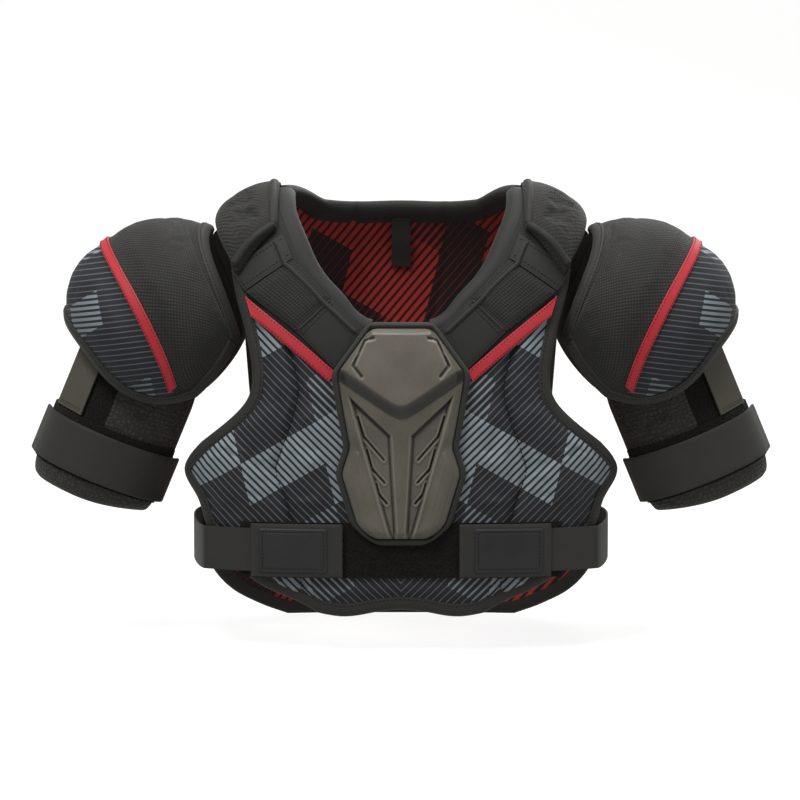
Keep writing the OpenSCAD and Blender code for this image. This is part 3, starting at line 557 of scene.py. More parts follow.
def embossed(name, dark, light, cell):
    """Heat-embossed polyester mesh: small pillowed cells with pinched lines between them."""
    material, tree, shader = surface(name, Roughness=0.66, Sheen_Weight=0.1, Sheen_Roughness=0.5)
    cloth = add(tree, "UVMap", uv_map="cloth").outputs["UV"]
    cells = add(tree, "TexVoronoi", {"Vector": cloth, "Scale": 1 / (cell * MM), "Randomness": 0.55},
                feature="DISTANCE_TO_EDGE").outputs["Distance"]
    pillow = add(tree, "MapRange", {0: cells, 1: 0.0, 2: 0.32}, interpolation_type="SMOOTHSTEP").outputs[0]
    fine = add(tree, "TexNoise", {"Vector": cloth, "Scale": 700.0, "Detail": 3.0}).outputs["Fac"]
    tone = add(tree, "Math", {0: pillow, 1: fine}, operation="MULTIPLY").outputs[0]
    return dressed(material, shader, tone, srgb(dark), srgb(light), pillow, 0.7, 0.9)


def pile(name, dark, light):
    """Loop pile: a tangle of fine nylon loops, about 2 mm apart, that swallows light."""
    material, tree, shader = surface(name, Roughness=0.95, Specular_IOR_Level=0.2, Sheen_Weight=0.05,
                                     Sheen_Roughness=0.6)
    spot = add(tree, "TexCoord").outputs["Object"]
    tufts = add(tree, "TexVoronoi", {"Vector": spot, "Scale": 460.0}).outputs["Distance"]
    fuzz = add(tree, "TexNoise", {"Vector": spot, "Scale": 900.0, "Detail": 5.0}).outputs["Fac"]
    height = add(tree, "Math", {0: tufts, 1: fuzz}, operation="ADD").outputs[0]
    return dressed(material, shader, fuzz, srgb(dark), srgb(light), height, 1.0, 1.2)


def webbing(name, dark, light, rib, depth=0.25):
    """Woven nylon webbing or elastic: ribs across the strap, a low sheen along them."""
    material, tree, shader = surface(name, Roughness=0.62, Sheen_Weight=0.15, Sheen_Roughness=0.4)
    cloth = add(tree, "UVMap", uv_map="cloth").outputs["UV"]
    weave = woven(tree, cloth, rib, rib * 0.7, 0.3)
    cloud = add(tree, "TexNoise", {"Vector": cloth, "Scale": 30.0, "Detail": 3.0}).outputs["Fac"]
    tone = add(tree, "Math", {0: weave, 1: cloud}, operation="MULTIPLY").outputs[0]
    return dressed(material, shader, tone, srgb(dark), srgb(light), weave, 0.6, depth)


def moulding(name, dark, light, roughness, grit, coat=0.0, wear_and_shade=None):
    """Compression-moulded foam skin or polyethylene: satin, with a fine grit left by the mould. A skin
    given an edge colour is rubbed to that paler colour on its edges by wear, and gets painted shade in its
    corners and on walls that face down."""
    material, tree, shader = surface(name, Roughness=roughness, IOR=1.48, Coat_Weight=coat,
                                     Coat_Roughness=0.45)
    spot = add(tree, "TexCoord").outputs["Object"]
    grains = add(tree, "TexNoise", {"Vector": spot, "Scale": 1 / (grit * MM), "Detail": 3.0}).outputs["Fac"]
    cloud = add(tree, "TexNoise", {"Vector": spot, "Scale": 24.0, "Detail": 4.0}).outputs["Fac"]
    tone = add(tree, "Math", {0: grains, 1: cloud}, operation="ADD").outputs[0]
    tone = add(tree, "MapRange", {0: tone, 1: 0.7, 2: 1.3}).outputs[0]
    low, high = srgb(dark), srgb(light)
    if wear_and_shade:
        even = add(tree, "Mix", {0: tone, 6: low, 7: high}, data_type="RGBA").outputs[2]
        # Painted shade: where the attribute edge is low, in corners and on walls that face down, the colour
        # is mixed towards the dark #1a1916
        edge = add(tree, "Attribute", attribute_name="edge").outputs["Fac"]
        painted_shade_mix = add(tree, "MapRange", {0: edge, 1: 0.05, 2: 0.48}).outputs[0]
        low = add(tree, "Mix", {0: painted_shade_mix, 6: srgb("#1a1916"), 7: even}, data_type="RGBA").outputs[2]
        # Where the attribute edge is high, on edges, the skin is rubbed to the paler wear colour
        high = srgb(wear_and_shade)
        tone = add(tree, "MapRange", {0: edge, 1: 0.54, 2: 1.0}).outputs[0]
    return dressed(material, shader, tone, low, high, grains, 0.35, 0.15)


def thread(name, dark, light):
    """Bonded polyester thread, sunk in its stitches: matt, with a little twist to see."""
    material, tree, shader = surface(name, Roughness=0.8)
    spot = add(tree, "TexCoord").outputs["Object"]
    twist = add(tree, "TexNoise", {"Vector": spot, "Scale": 900.0}).outputs["Fac"]
    tone = add(tree, "Mix", {0: twist, 6: srgb(dark), 7: srgb(light)}, data_type="RGBA").outputs[2]
    tree.links.new(tone, shader.inputs["Base Color"])
    return material


knit_black = knit("warp_knit_polyester", "#0b0a09", "#4a4843", 3.4, 0.8)
knit_square = knit("air_mesh_polyester", "#0d0c0b", "#383633", 3.0, 0.7, turn=0)
mesh_emboss = embossed("embossed_mesh_polyester", "#1a1917", "#4c4841", 4.2)
facing = smooth_cloth("neoprene_facing", "#171614", "#302e2a")
tape_cloth = smooth_cloth("binding_tape_nylon", "#262522", "#48453f", grain=1.4, depth=0.2)
strap_cloth = smooth_cloth("strap_nylon", "#292824", "#413f3a", roughness=0.66)
print_chest = striped("printed_polyester_chest", "#121216", "#232329", "#6d7279", "#a6b2b9", 45, 5.1, 36,
                      ((0.0, 0.17), (0.5, 0.6), (0.76, 0.36)))
print_cap = striped("printed_polyester_cap", "#131418", "#24252c", "#666b72", "#9aa6ad", 97, 4.9, 30,
                    ((0.0, 0.17), (0.6, 0.55), (0.8, 0.36)))
print_lining = striped("printed_polyester_lining", "#0d0808", "#1d1413", "#96221f", "#e03f38", 40, 6.4, 40,
                       ((0.0, 0.13), (0.34, 0.6), (0.72, 0.42)), mirrored=False)
red_tape = smooth_cloth("coated_red_tape", "#cc2935", "#ec5560", roughness=0.55, grain=1.1, depth=0.1)
loop_pile = pile("loop_pile_nylon", "#040404", "#2c2a26")
link_webbing = webbing("link_webbing_nylon", "#545045", "#8c8777", 1.7)
elastic = webbing("ribbed_elastic", "#161615", "#343432", 2.2, 0.4)
# The plate gets painted shade in its corners and on walls that face down, and paler wear on its edges
plate_skin = moulding("moulded_foam_plate", "#5e5a4f", "#7f796d", 0.42, 0.5, coat=0.15, wear_and_shade="#969082")
rubber = moulding("moulded_rubber", "#1e1e1e", "#303030", 0.6, 0.7)
cup_skin = moulding("polyethylene_cup", "#131313", "#212121", 0.42, 0.9)
black_thread = thread("black_polyester_thread", "#050505", "#121212")
red_thread = thread("dark_red_polyester_thread", "#5f0d14", "#861720")

# Chest cover: foam in printed fabric, lined inside, with a sewn channel on each side
CHEST_ROWS = 21
WING_ROW = 7
SPRING_ROW = 9
NECK_ROW = 13
NECK_LEVEL = float(level_at(0.0, NECK_Z))
SIDE_Z = mix(HEM_Z, WING_Z, 0.8)
SIDE_HALF_W = WING_HALF_W - 12


def armhole(half_w):
    """Knots of a panel's edge from its widest place up round the armhole to the shoulder."""
    return [
        [WING_Z, half_w],
        [WING_Z + 21, mix(half_w, ARMHOLE_HALF_W, 0.2)],
        [WING_Z + 60, mix(half_w, ARMHOLE_HALF_W, 0.88)],
        [WING_Z + 84, ARMHOLE_HALF_W],
        [WING_Z + 126, ARMHOLE_HALF_W + 6],
        [WING_Z + 174, YOKE_HALF_W - 6],
        [SPRING_Z + SHOULDER_RISE, YOKE_HALF_W]]


CHEST_EDGE = [
    [HEM_Z, HEM_HALF_W],
    [mix(HEM_Z, SIDE_Z, 0.2), mix(HEM_HALF_W, SIDE_HALF_W, 0.4)],
    [mix(HEM_Z, SIDE_Z, 0.45), mix(HEM_HALF_W, SIDE_HALF_W, 0.7)],
    [mix(HEM_Z, SIDE_Z, 0.7), mix(HEM_HALF_W, SIDE_HALF_W, 0.9)],
    [SIDE_Z, SIDE_HALF_W]] + armhole(WING_HALF_W)
NECK_EDGE = [
    [NECK_Z, 0],
    [NECK_Z + 8, 0.33 * NECK_HALF_W],
    [NECK_Z + 32, 0.56 * NECK_HALF_W],
    [NECK_Z + 56, 0.77 * NECK_HALF_W],
    [NECK_Z + 76, 0.88 * NECK_HALF_W],
    [NECK_Z + 96, 0.97 * NECK_HALF_W],
    [SPRING_Z + SHOULDER_RISE, NECK_HALF_W]]
CHEST_SEAM = [
    [-337, 84], [-250, 97], [-213, 109], [-198, 106], [-165, 95], [-141, 90], [-108, 97], [-60, 112]]
TRIM_TOP = (137, -58)
TRIM_FOOT = (56, -125)


def chest_spot(u, v):
    """Place on the chest: x, level, height, distance from the outer edge and from the neck edge."""
    row = v * CHEST_ROWS
    level = np.interp(row, [0, WING_ROW, SPRING_ROW, NECK_ROW, CHEST_ROWS],
                      [HEM_Z - SPRING_Z, WING_Z - SPRING_Z, 0, NECK_LEVEL, TOP_LEVEL])
    z = height_at(level)
    inner = np.where(row <= NECK_ROW, 0, curve(NECK_EDGE, z))
    edge = curve(CHEST_EDGE, z)
    x = mix(inner, edge, u)
    z = form(x, level, FRONT)[..., 2]
    rim = np.minimum((1 - u) * (edge - inner), z - HEM_Z)
    return x, level, z, rim, np.where(row > NECK_ROW, x - inner, 99)


def trim_height(x):
    """Height of the red trim's upper edge over the chest."""
    return TRIM_TOP[1] - (TRIM_TOP[0] - x) * (TRIM_TOP[1] - TRIM_FOOT[1]) / (TRIM_TOP[0] - TRIM_FOOT[0])


def chest_puff(x, z, rim):
    """Share of fullness: the printed field between the red trim, the plate and the loop strip."""
    return (soft_step((trim_height(x) - 16 - z) / 22) * soft_step((z + 252) / 16)
            * soft_step((x - 58) / 16) * soft_step((rim - 8) / 20))


def place_chest(u, v, w):
    x, level, z, rim, neck = chest_spot(u, v)
    thick = mix(EDGE_T, PANEL_T, soft_step((rim - 6) / 14))
    thick = np.minimum(thick, mix(0.85 * PANEL_T, PANEL_T, soft_step(neck / 10)))
    seam = x - curve(CHEST_SEAM, z)
    thick = (thick + 2.6 * chest_puff(x, z, rim) * (1 - bell(seam / 17))
             - 4.8 * bell(seam / 3.2) * soft_step((-84 - z) / 12) * soft_step((rim - 6) / 10))
    wave = 6.5 * (bell((x - 50) / 28) - 1) * soft_step((-300 - z) / 37)
    return skin(x, np.where(level < 0, level - wave, level), FRONT, w * thick)


def chest_fabric(u, v, w):
    x, level, z, rim, neck = chest_spot(u, v)
    return np.where(w < LINING, 1, np.where(z > trim_height(x) - 4, 2, 0))


def chest_free(u, v, w):
    x, level, z, rim, neck = chest_spot(u, v)
    return chest_puff(x, z, rim) * soft_step((np.abs(x - curve(CHEST_SEAM, z)) - 3) / 8) * (w > FACE)


chest_cover = formed("chest_cover", blank(56, 120, 2), place_chest, print_chest, print_lining, knit_square,
                     slot_of=chest_fabric, whole=True)
plump(chest_cover, chest_free, 4)
settle(chest_cover, "chest", "printed_fabric", "chest_panel", fill=0.7)

# Profiles of tapes over an edge: reach out of it, share of its thickness, stand off it
BINDING = [
    (-8, 1, 0.2), (-8, 1, 0.9), (-6, 1, 1.4), (-2, 1, 1.6), (1.2, 1, 1.0), (3.2, 0.86, 0), (4.0, 0.55, 0),
    (3.6, 0.22, 0), (1.8, 0, -0.5), (-1, 0, -1.1), (-5, 0, -1.2), (-8, 0, -0.9), (-8, 0, -0.2)]
COLLAR = [
    (-5, 1, 0.2), (-5, 1, 0.9), (-2, 1, 1.6), (2, 1, 1.9), (6, 0.98, 1.0), (9, 0.85, 0), (10.6, 0.62, 0),
    (10.6, 0.38, 0), (9, 0.15, 0), (6, 0.02, -0.6), (2, 0, -1.2), (-2, 0, -1.2), (-5, 0, -0.8),
    (-5, 0, -0.2)]
NAPE = [
    (-12, 1, 0.2), (-12, 1, 0.9), (-8, 1, 1.5), (-2, 1, 1.8), (3, 1, 1.0), (6.5, 0.85, 0), (8.4, 0.6, 0),
    (8.4, 0.4, 0), (6.5, 0.15, 0), (3, 0, -0.7), (-2, 0, -1.5), (-8, 0, -1.5), (-12, 0, -1.0),
    (-12, 0, -0.2)]
# Place of the stitches on a binding: reach out of its edge and stand off it
BINDING_ROW = (-5.6, 1.35)


def mirrored(points):
    return points * np.array([-1, 1, 1])


def half_edge(place, hem_count, w):
    """The outer edge of a half panel: from the shoulder down, then along the hem to the middle."""
    down, hem = np.linspace(1, 0, 190), np.linspace(1, 0, hem_count)[1:]
    u, v = np.concatenate([0 * down + 1, hem]), np.concatenate([down, 0 * hem])
    return place(u, v, np.full(len(u), w))


def chest_edge_line(w):
    half = half_edge(place_chest, 34, w)
    return np.concatenate([mirrored(half), half[-2::-1]])


chest_tape = tape("chest_edge_tape", chest_edge_line(1.0), chest_edge_line(0.0), BINDING, tape_cloth)
settle(chest_tape, "chest", "black_fabric", "chest_binding")
row, row_out = edge_row(chest_edge_line(1.0), chest_edge_line(0.0), *BINDING_ROW)
settle(thread_row("chest_tape_thread", row, row_out, black_thread), "chest", "black_fabric")


def neck_line(w):
    rows = np.linspace(1, (NECK_ROW + 0.22) / CHEST_ROWS, 110)
    return place_chest(np.zeros(110), rows, np.full(110, w))


collar = tape("front_collar_roll", neck_line(1.0), neck_line(0.0), COLLAR, facing)
pair(collar, "chest", "black_fabric", "{}_front_collar")

seam_z = np.linspace(-330, -92, 160)
seam_x = curve(CHEST_SEAM, seam_z)
seam_row = on_chest(seam_x, seam_z, 8.0)
seam_out = outward(seam_x, level_at(seam_x, seam_z), FRONT)
pair(thread_row("chest_seam_thread", seam_row, seam_out, black_thread), "chest", "black_fabric")

# Sternum backing, plate and its relief
STERNUM_TOP_Z = -84
STERNUM_FOOT_Z = -276
STERNUM_HALF_W = 61
STERNUM_WAIST_W = 50
STERNUM_EDGE = 6
STERNUM_ROUND = 6
STERNUM_H = STERNUM_TOP_Z - STERNUM_FOOT_Z
STERNUM_LINE = [
    [STERNUM_FOOT_Z, 0.34 * STERNUM_HALF_W],
    [STERNUM_FOOT_Z + 0.026 * STERNUM_H, 0.49 * STERNUM_HALF_W],
    [STERNUM_FOOT_Z + 0.094 * STERNUM_H, 0.72 * STERNUM_HALF_W],
    [STERNUM_FOOT_Z + 0.33 * STERNUM_H, 0.94 * STERNUM_HALF_W],
    [STERNUM_FOOT_Z + 0.45 * STERNUM_H, STERNUM_WAIST_W],
    [STERNUM_FOOT_Z + 0.62 * STERNUM_H, mix(STERNUM_WAIST_W, STERNUM_HALF_W, 0.55)],
    [STERNUM_FOOT_Z + 0.776 * STERNUM_H, STERNUM_HALF_W],
    [STERNUM_TOP_Z, 0.47 * STERNUM_HALF_W]]


def sternum_half(z, inset):
    """Half width of the sternum at a height, less the inset, with its end corners rounded."""
    line = np.array(STERNUM_LINE).T
    half = sum(np.interp(z + step, *line) for step in (-4, -2, 0, 2, 4)) / 5 - inset
    r = STERNUM_ROUND
    for end in (z - STERNUM_FOOT_Z - inset, STERNUM_TOP_Z - inset - z):
        cut = np.clip(r - end, 0, r)
        half = half - r + np.sqrt(r * r - cut * cut)
    return half


def sternum_spot(u, v, inset):
    """Place on the sternum, and the distance from its outline, less the inset."""
    z = mix(STERNUM_FOOT_Z + inset, STERNUM_TOP_Z - inset, v)
    half = sternum_half(z, inset)
    x = (2 * u - 1) * half
    ends = np.minimum(z - STERNUM_FOOT_Z - inset, STERNUM_TOP_Z - inset - z)
    return x, z, np.minimum((half - np.abs(x)) * 0.93, ends)


def place_backing(u, v, w):
    x, z, rim = sternum_spot(u, v, 0)
    edge = rounded(rim, 4.5)
    dip = 2.4 * bell((rim - 6.6) / 1.6) + 0.8 * soft_step((rim - 6) / 4)
    return on_chest(x, z, OVER_PLY + w * (2.2 + 3.4 * edge - dip))


backing = formed("sternum_backing_pad", blank(110, 150, 2), place_backing, tape_cloth)
settle(backing, "chest", "black_fabric", "sternum_backing")

# The shield's lower edge is a rounded V, and its face leans back over its wall
SHIELD_POINT = -155.6
SHIELD_SLOPE = 0.665
SHIELD_ROUND = 6
SHIELD_WALL = 10.5
SHIELD_H = 8.4
SHIELD_LEAN = 0.12
# The Y rib and the ridges beside the facets, left side
RIB_H = 3.6
ARM_FOOT = (10.2, -179.5)
ARM_SLOPE = 0.916
RIDGE_TOP = (45.8, -144.3)
RIDGE_FOOT = (13.9, -257.0)
BRACKET = ((24.0, -99.0), (31.5, -100.5), (41.0, -121.5), (34.0, -130.0))
CHEVRONS = (((37.7, -163.3), (32.4, -179.9), (14.9, -200.1)),
            ((29.8, -191.3), (25.4, -207.9), (14.4, -220.2)),
            ((21.9, -221.1), (19.6, -229.8), (12.4, -238.6)))


def line_gap(x, z, a, b):
    """Distance of points from a straight line between two ends."""
    run = np.array(b) - np.array(a)
    share = np.clip(((x - a[0]) * run[0] + (z - a[1]) * run[1]) / (run @ run), 0, 1)
    return np.hypot(x - a[0] - share * run[0], z - a[1] - share * run[1])


def path_gap(x, z, path):
    return np.minimum.reduce([line_gap(x, z, a, b) for a, b in zip(path, path[1:])])


def slope(d, w):
    """A moulded wall of width w: straight, with its two edges a little rounded."""
    f = np.clip(d / w, 0, 1)
    return mix(f, soft_step(f), 0.3)


def relief(x, z, rim):
    """Height of the plate's moulded relief: shield, Y rib, facets with grooves, ridges and foot pads."""
    x = np.abs(x)
    blunt = np.hypot(x, SHIELD_ROUND) - SHIELD_ROUND / 3
    vee = (z - SHIELD_POINT - SHIELD_SLOPE * blunt) / math.hypot(1, SHIELD_SLOPE)
    shield = 3.2 + SHIELD_H * slope(vee + SHIELD_WALL, SHIELD_WALL) - SHIELD_LEAN * np.maximum(vee, 0)
    arm = (z - ARM_FOOT[1] - ARM_SLOPE * (x - ARM_FOOT[0])) / math.hypot(1, ARM_SLOPE)
    stem = np.interp(z, [-263, ARM_FOOT[1]], [5.4, ARM_FOOT[0]]) - x
    rib = RIB_H * slope(np.maximum(arm, stem) + 1.2, 3.2)
    run = unit(np.array(RIDGE_FOOT) - np.array(RIDGE_TOP))
    outside = -(x - RIDGE_TOP[0]) * run[1] + (z - RIDGE_TOP[1]) * run[0]
    flank = (RIB_H - 0.06 * np.maximum(outside, 0)) * slope(outside + 2.8, 3.0)
    foot = np.minimum(np.minimum(outside - 2.2, -193 - z + 0.35 * outside), rim - 4)
    waist = 1.3 * bell((z + 190) / 8) * soft_step((14 - rim) / 12) * soft_step(outside / 4)
    high = np.maximum.reduce([np.where(vee > -SHIELD_WALL, shield, 0), rib, flank])
    groove = np.minimum.reduce([path_gap(x, z, path) for path in CHEVRONS])
    low = soft_step((1.2 - np.maximum(rib, flank)) / 0.8)
    bracket = 1.9 * bell(path_gap(x, z, BRACKET) / 1.3)
    lip = 0.6 * bell((groove - 1.9) / 1.0)
    return high + 1.7 * slope(foot, 6) - waist + (lip - 1.1 * bell(groove / 0.8)) * low - bracket


def place_plate(u, v, w):
    x, z, rim = sternum_spot(u, v, STERNUM_EDGE)
    lip = rounded(rim, 3.5)
    return on_chest(x, z, PLATE_IN - 1.4 + w * (1.4 + 2.4 * lip + relief(x, z, rim) * slope(rim - 1, 5)))


def wear_and_painted_shade(u, v):
    """Mask of wear and painted shade on the relief: 0 in corners, 0.5 where it is even, 1 on an edge. Walls
    that face down get painted shade too, as if lit from above; edges are rubbed paler by wear."""
    x, z, rim = sternum_spot(u, v, STERNUM_EDGE)
    turns = np.arange(8) * math.pi / 4
    around = sum(relief(x + 1.8 * math.cos(t), z + 1.8 * math.sin(t), rim) for t in turns) / 8
    # Painted shade on walls that face down, as if the light came from above
    wall = np.clip(relief(x, z + 2, rim) - relief(x, z - 2, rim), 0, 3) / 3
    return np.clip(0.5 + 0.7 * (relief(x, z, rim) - around) - 0.4 * wall, 0, 1)


plate = formed("sternum_shield_plate", blank(170, 250, 2), place_plate, plate_skin)
# The attribute edge carries painted shade in corners and on walls that face down, and paler wear on edges
plate_wear_and_shade = plate.data.attributes.new("edge", "FLOAT", "POINT")
plate_wear_and_shade.data.foreach_set("value", wear_and_painted_shade(*spots(plate).T[:2]))
settle(plate, "chest", "moulded_plate", "sternum_plate")


def sternum_outline(inset, count):
    """A closed line round the sternum at an inset from its edge, as x and z."""
    z = np.linspace(STERNUM_FOOT_Z + inset, STERNUM_TOP_Z - inset, count)
    x = sternum_half(z, inset)
    foot, top = np.linspace(-x[0], x[0], 14)[1:-1], np.linspace(x[-1], -x[-1], 20)[1:-1]
    return (np.concatenate([x, top, -x[::-1], foot, x[:1]]),
            np.concatenate([z, 0 * top + z[-1], z[::-1], 0 * foot + z[0], z[:1]]))


ring_x, ring_z = sternum_outline(5.2, 120)
ring_out = outward(ring_x, level_at(ring_x, ring_z), FRONT)
settle(thread_row("sternum_thread", on_chest(ring_x, ring_z, BACKING_OUT - 1.9), ring_out, black_thread),
       "chest", "black_fabric")

# Loop strip that the belly straps hold on to
BELLY_Z = -281
LOOP_HALF_L = 138
LOOP_W = 49


def place_loop_strip(u, v, w):
    x, z = mix(-LOOP_HALF_L, LOOP_HALF_L, u), BELLY_Z + (v - 0.5) * LOOP_W
    shag = 0.35 * np.sin(x * 2.9 + 5 * np.sin(z * 1.3)) * np.sin(z * 3.1 + 3 * np.sin(x * 0.9))
    return on_chest(x, z, mix(PLY_IN, PLY_OUT + 0.3 + shag, w))


strip = formed("chest_loop_strip", blank(260, 48, 1), place_loop_strip, loop_pile)
settle(strip, "chest", "loop_pile", "loop_strip")

# Yoke plies, red trims and shoulder pads
YOKE_INNER = np.array([
    [0.98 * NECK_HALF_W, -10], [0.9 * NECK_HALF_W, -31], [0.57 * NECK_HALF_W, -64], [32, -90]])
YOKE_OUTER = np.array([
    [YOKE_HALF_W - 4, -41], [0.885 * YOKE_HALF_W, -58], [0.61 * YOKE_HALF_W, -91], [56, -125]])
SEAM = 1
RIDGE_INSET = 7
TRIM_W = 10


def chest_patch(corners, off):
    """A patch of the chest between four corners, given as pairs of x and height."""
    at = np.array(corners)

    def place(u, v, w):
        p = between(at, u, v)
        return on_chest(p[..., 0], p[..., 1], off(u, v, w))

    return place


def yoke_corners(i):
    inner = YOKE_INNER[i + 1] + SEAM * unit(YOKE_INNER[i] - YOKE_INNER[i + 1])
    outer = YOKE_OUTER[i + 1] + SEAM * unit(YOKE_OUTER[i] - YOKE_OUTER[i + 1])
    return inner, outer, YOKE_OUTER[i], YOKE_INNER[i]


def soft_ply(swell, border=0.16):
    """A sewn ply that swells a little off its stitched border, a share of its size."""

    def off(u, v, w):
        return mix(PLY_IN, PLY_OUT + swell * soft_step(rim_gap(u, v, 1, 1) / border), w)

    return off


across = np.linspace(0.03, 0.97, 60)
for i, (ply, cloth, slot, rows, swell, seams) in enumerate((
        ("webbing", facing, "smooth_webbing", 12, 0.3, (0.2, 0.86)),
        ("mesh", knit_square, "black_fabric", 30, 1.2, ()),
        ("tab", facing, "smooth_webbing", 30, 0.5, (0.93,)))):
    place_ply = chest_patch(yoke_corners(i), soft_ply(swell))
    ply_piece = formed("yoke_" + ply + "_ply", blank(30, rows, 1), place_ply, cloth)
    pair(ply_piece, "chest", slot, "{}_yoke_" + ply)
    threads = [("thread_%d" % (at * 100), across, 0 * across + at) for at in seams]
    threads += [(part + "_thread", 0 * across + at, across) for part, at in (("neck", 0.17), ("arm", 0.95))]
    for part, us, vs in threads:
        pair(stitches("yoke_%s_%s" % (ply, part), place_ply, us, vs, black_thread), "chest", "black_fabric")

ridge_steps = np.linspace(0.1, 2.9, 120)
ridge_ends = YOKE_INNER + RIDGE_INSET * unit(YOKE_OUTER - YOKE_INNER)
ridge_line = np.stack([np.interp(ridge_steps, range(4), ends) for ends in ridge_ends.T])
ridge_out = outward(ridge_line[0], level_at(*ridge_line), FRONT)
ridge = roll("collar_seam_ridge", on_chest(*ridge_line, PLY_OUT + 0.4), ridge_out, 2.2, facing)
pair(ridge, "chest", "black_fabric")

seam_run = np.linspace(0.02, 0.98, 50)
for at, radius in ((0.995, 1.5), (0.9, 1.1)):
    line, normals = face_line(place_ply, seam_run, 0 * seam_run + at)
    ridge = roll("yoke_seam_ridge_%d" % (at * 1000), line - 0.3 * normals, normals, radius, facing)
    pair(ridge, "chest", "black_fabric")


def trim_threads(name, place, start, count, body):
    """A row of red stitches along each side of a trim."""
    long = np.linspace(start, 1 - start, count)
    for at in (0.13, 0.87):
        row = "%s_thread_%d" % (name, at * 100)
        pair(stitches(row, place, 0 * long + at, long, red_thread, 3.4, 2.3, 0.9), body, "red_trim")


trim_finish = YOKE_OUTER[3]
trim_along = unit(YOKE_OUTER[1] + [4, 0] - trim_finish)
trim_down = np.array([trim_along[1], -trim_along[0]])
TRIM_END_IN = (133.5, -61.4)
TRIM_END_OUT = (128.6, -78.2)
place_trim = chest_patch((trim_finish + SEAM * trim_down, trim_finish + (SEAM + TRIM_W) * trim_down,
                          TRIM_END_OUT, TRIM_END_IN), soft_ply(0.5, 0.2))
pair(formed("chest_red_trim", blank(10, 70, 1), place_trim, red_tape), "chest", "red_trim", "{}_chest_trim")
trim_threads("chest_trim", place_trim, 0.01, 80, "chest")

PAD_LOW_INNER = (NECK_HALF_W + 2, -6)
PAD_LOW_OUTER = (YOKE_HALF_W - 12, -44)
PAD_HALF_W = YOKE_HALF_W + 4
PAD_L = 52


def pad_sides(u):
    """Distance in mm from the nearer side of a shoulder pad."""
    return np.minimum(u * 40, (1 - u) * 42)


def place_shoulder_pad(side):
    """Where a shoulder pad lies on the front or the back: thick at the arm, thin at the neck."""
    low = [[x, float(level_at(np.float64(x), np.float64(z)))] for x, z in (PAD_LOW_INNER, PAD_LOW_OUTER)]
    at = np.array(low + [[PAD_HALF_W, TOP_LEVEL], [NECK_HALF_W + 2, TOP_LEVEL]])

    def place(u, v, w):
        p = between(at, u, v)
        p[..., 0] += 9 * u * np.sin(math.pi * np.clip(v, 0, 1)) ** 0.8
        round_off = rounded(np.minimum(pad_sides(u), v * PAD_L), 11)
        thin = mix(0.42, 1, soft_step(1.7 * u))
        return skin(p[..., 0], p[..., 1], side, OVER_PLY + w * (3.6 + 8.0 * round_off) * thin)

    return place


def pad_free(u, v, w):
    rim = np.minimum(pad_sides(u), np.minimum(v * PAD_L, (1 - v) * PAD_L))
    return soft_step((rim - 4) / 9) * (w > FACE)


for body, name, side in (("chest", "collarbone_pad", FRONT), ("back", "rear_shoulder_pad", BACK)):
    place_pad = place_shoulder_pad(side)
    pad = formed(name + "_cover", blank(40, 48, 3), place_pad, knit_black)
    plump(pad, pad_free, 3.5)
    pair(pad, body, "black_fabric", "{}_" + name, fill=0.8)
    run, flat = np.linspace(0.02, 0.98, 60), np.zeros(60)
    for part, us, vs in (("hem_roll", run, flat + 0.05), ("neck_roll", flat + 0.07, run)):
        line, normals = face_line(place_pad, us, vs)
        pair(roll(name + "_" + part, line - normals, normals, 4.0, facing), body, "black_fabric")

# Back cover: printed fabric outside, striped lining inside
BACK_ROWS = 20
BACK_LOW_ROWS = 9
BACK_SIDE_Z = mix(BACK_HEM_Z, WING_Z, 0.42)
BACK_HEM_W = 1.5 * HEM_HALF_W
BACK_CHANNEL = 0.571
BACK_PRINT_TOP = 0.62
BACK_EDGE = [
    [BACK_HEM_Z, BACK_HEM_W],
    [mix(BACK_HEM_Z, BACK_SIDE_Z, 0.14), mix(BACK_HEM_W, BACK_HALF_W, 0.32)],
    [mix(BACK_HEM_Z, BACK_SIDE_Z, 0.37), mix(BACK_HEM_W, BACK_HALF_W, 0.68)],
    [mix(BACK_HEM_Z, BACK_SIDE_Z, 0.68), mix(BACK_HEM_W, BACK_HALF_W, 0.92)],
    [BACK_SIDE_Z, BACK_HALF_W]] + armhole(BACK_HALF_W)


def place_back(u, v, w):
    """The left half of the back: u runs from the spine to the outer edge."""
    row = v * BACK_ROWS
    level = np.where(row < BACK_LOW_ROWS, (BACK_HEM_Z - SPRING_Z) * (1 - row / BACK_LOW_ROWS),
                     TOP_LEVEL * (row - BACK_LOW_ROWS) / (BACK_ROWS - BACK_LOW_ROWS))
    z = height_at(level)
    edge = curve(BACK_EDGE, z)
    x = u * edge
    reach = mix(NAPE_LEVEL / TOP_LEVEL, 1, np.clip(x / NECK_HALF_W, 0, 1) ** 3)
    level = np.where(level <= 0, level, level * reach)
    rim = np.minimum((1 - u) * edge, z - BACK_HEM_Z)
    thick = mix(EDGE_T, PANEL_T, soft_step((rim - 6) / 14))
    channel = (x - BACK_CHANNEL * edge) / 3.6
    swell = 1.4 * soft_step((rim - 12) / 30) * soft_step((x - 46) / 20) * soft_step((0.8 - v) / 0.1)
    thick = thick - 4.2 * bell(channel) * soft_step((0.86 - v) / 0.06) + swell * (1 - bell(channel / 5))
    quilt = 1.6 * bell((x - 36 - 7 * np.sin((z + 60) / 34)) / 2.6) * soft_step((rim - 10) / 10)
    return skin(x, level, BACK, np.where(w < LINING, quilt, w * thick))


def back_fabric(u, v, w):
    return np.where(w < LINING, 1, np.where((u > BACK_CHANNEL) & (v < BACK_PRINT_TOP), 2, 0))


back_cover = formed("back_cover", blank(56, 128, 3), place_back, knit_square, print_lining, print_chest,
                    slot_of=back_fabric, whole=True)
settle(back_cover, "back", "printed_fabric", "back_panel", fill=0.7)


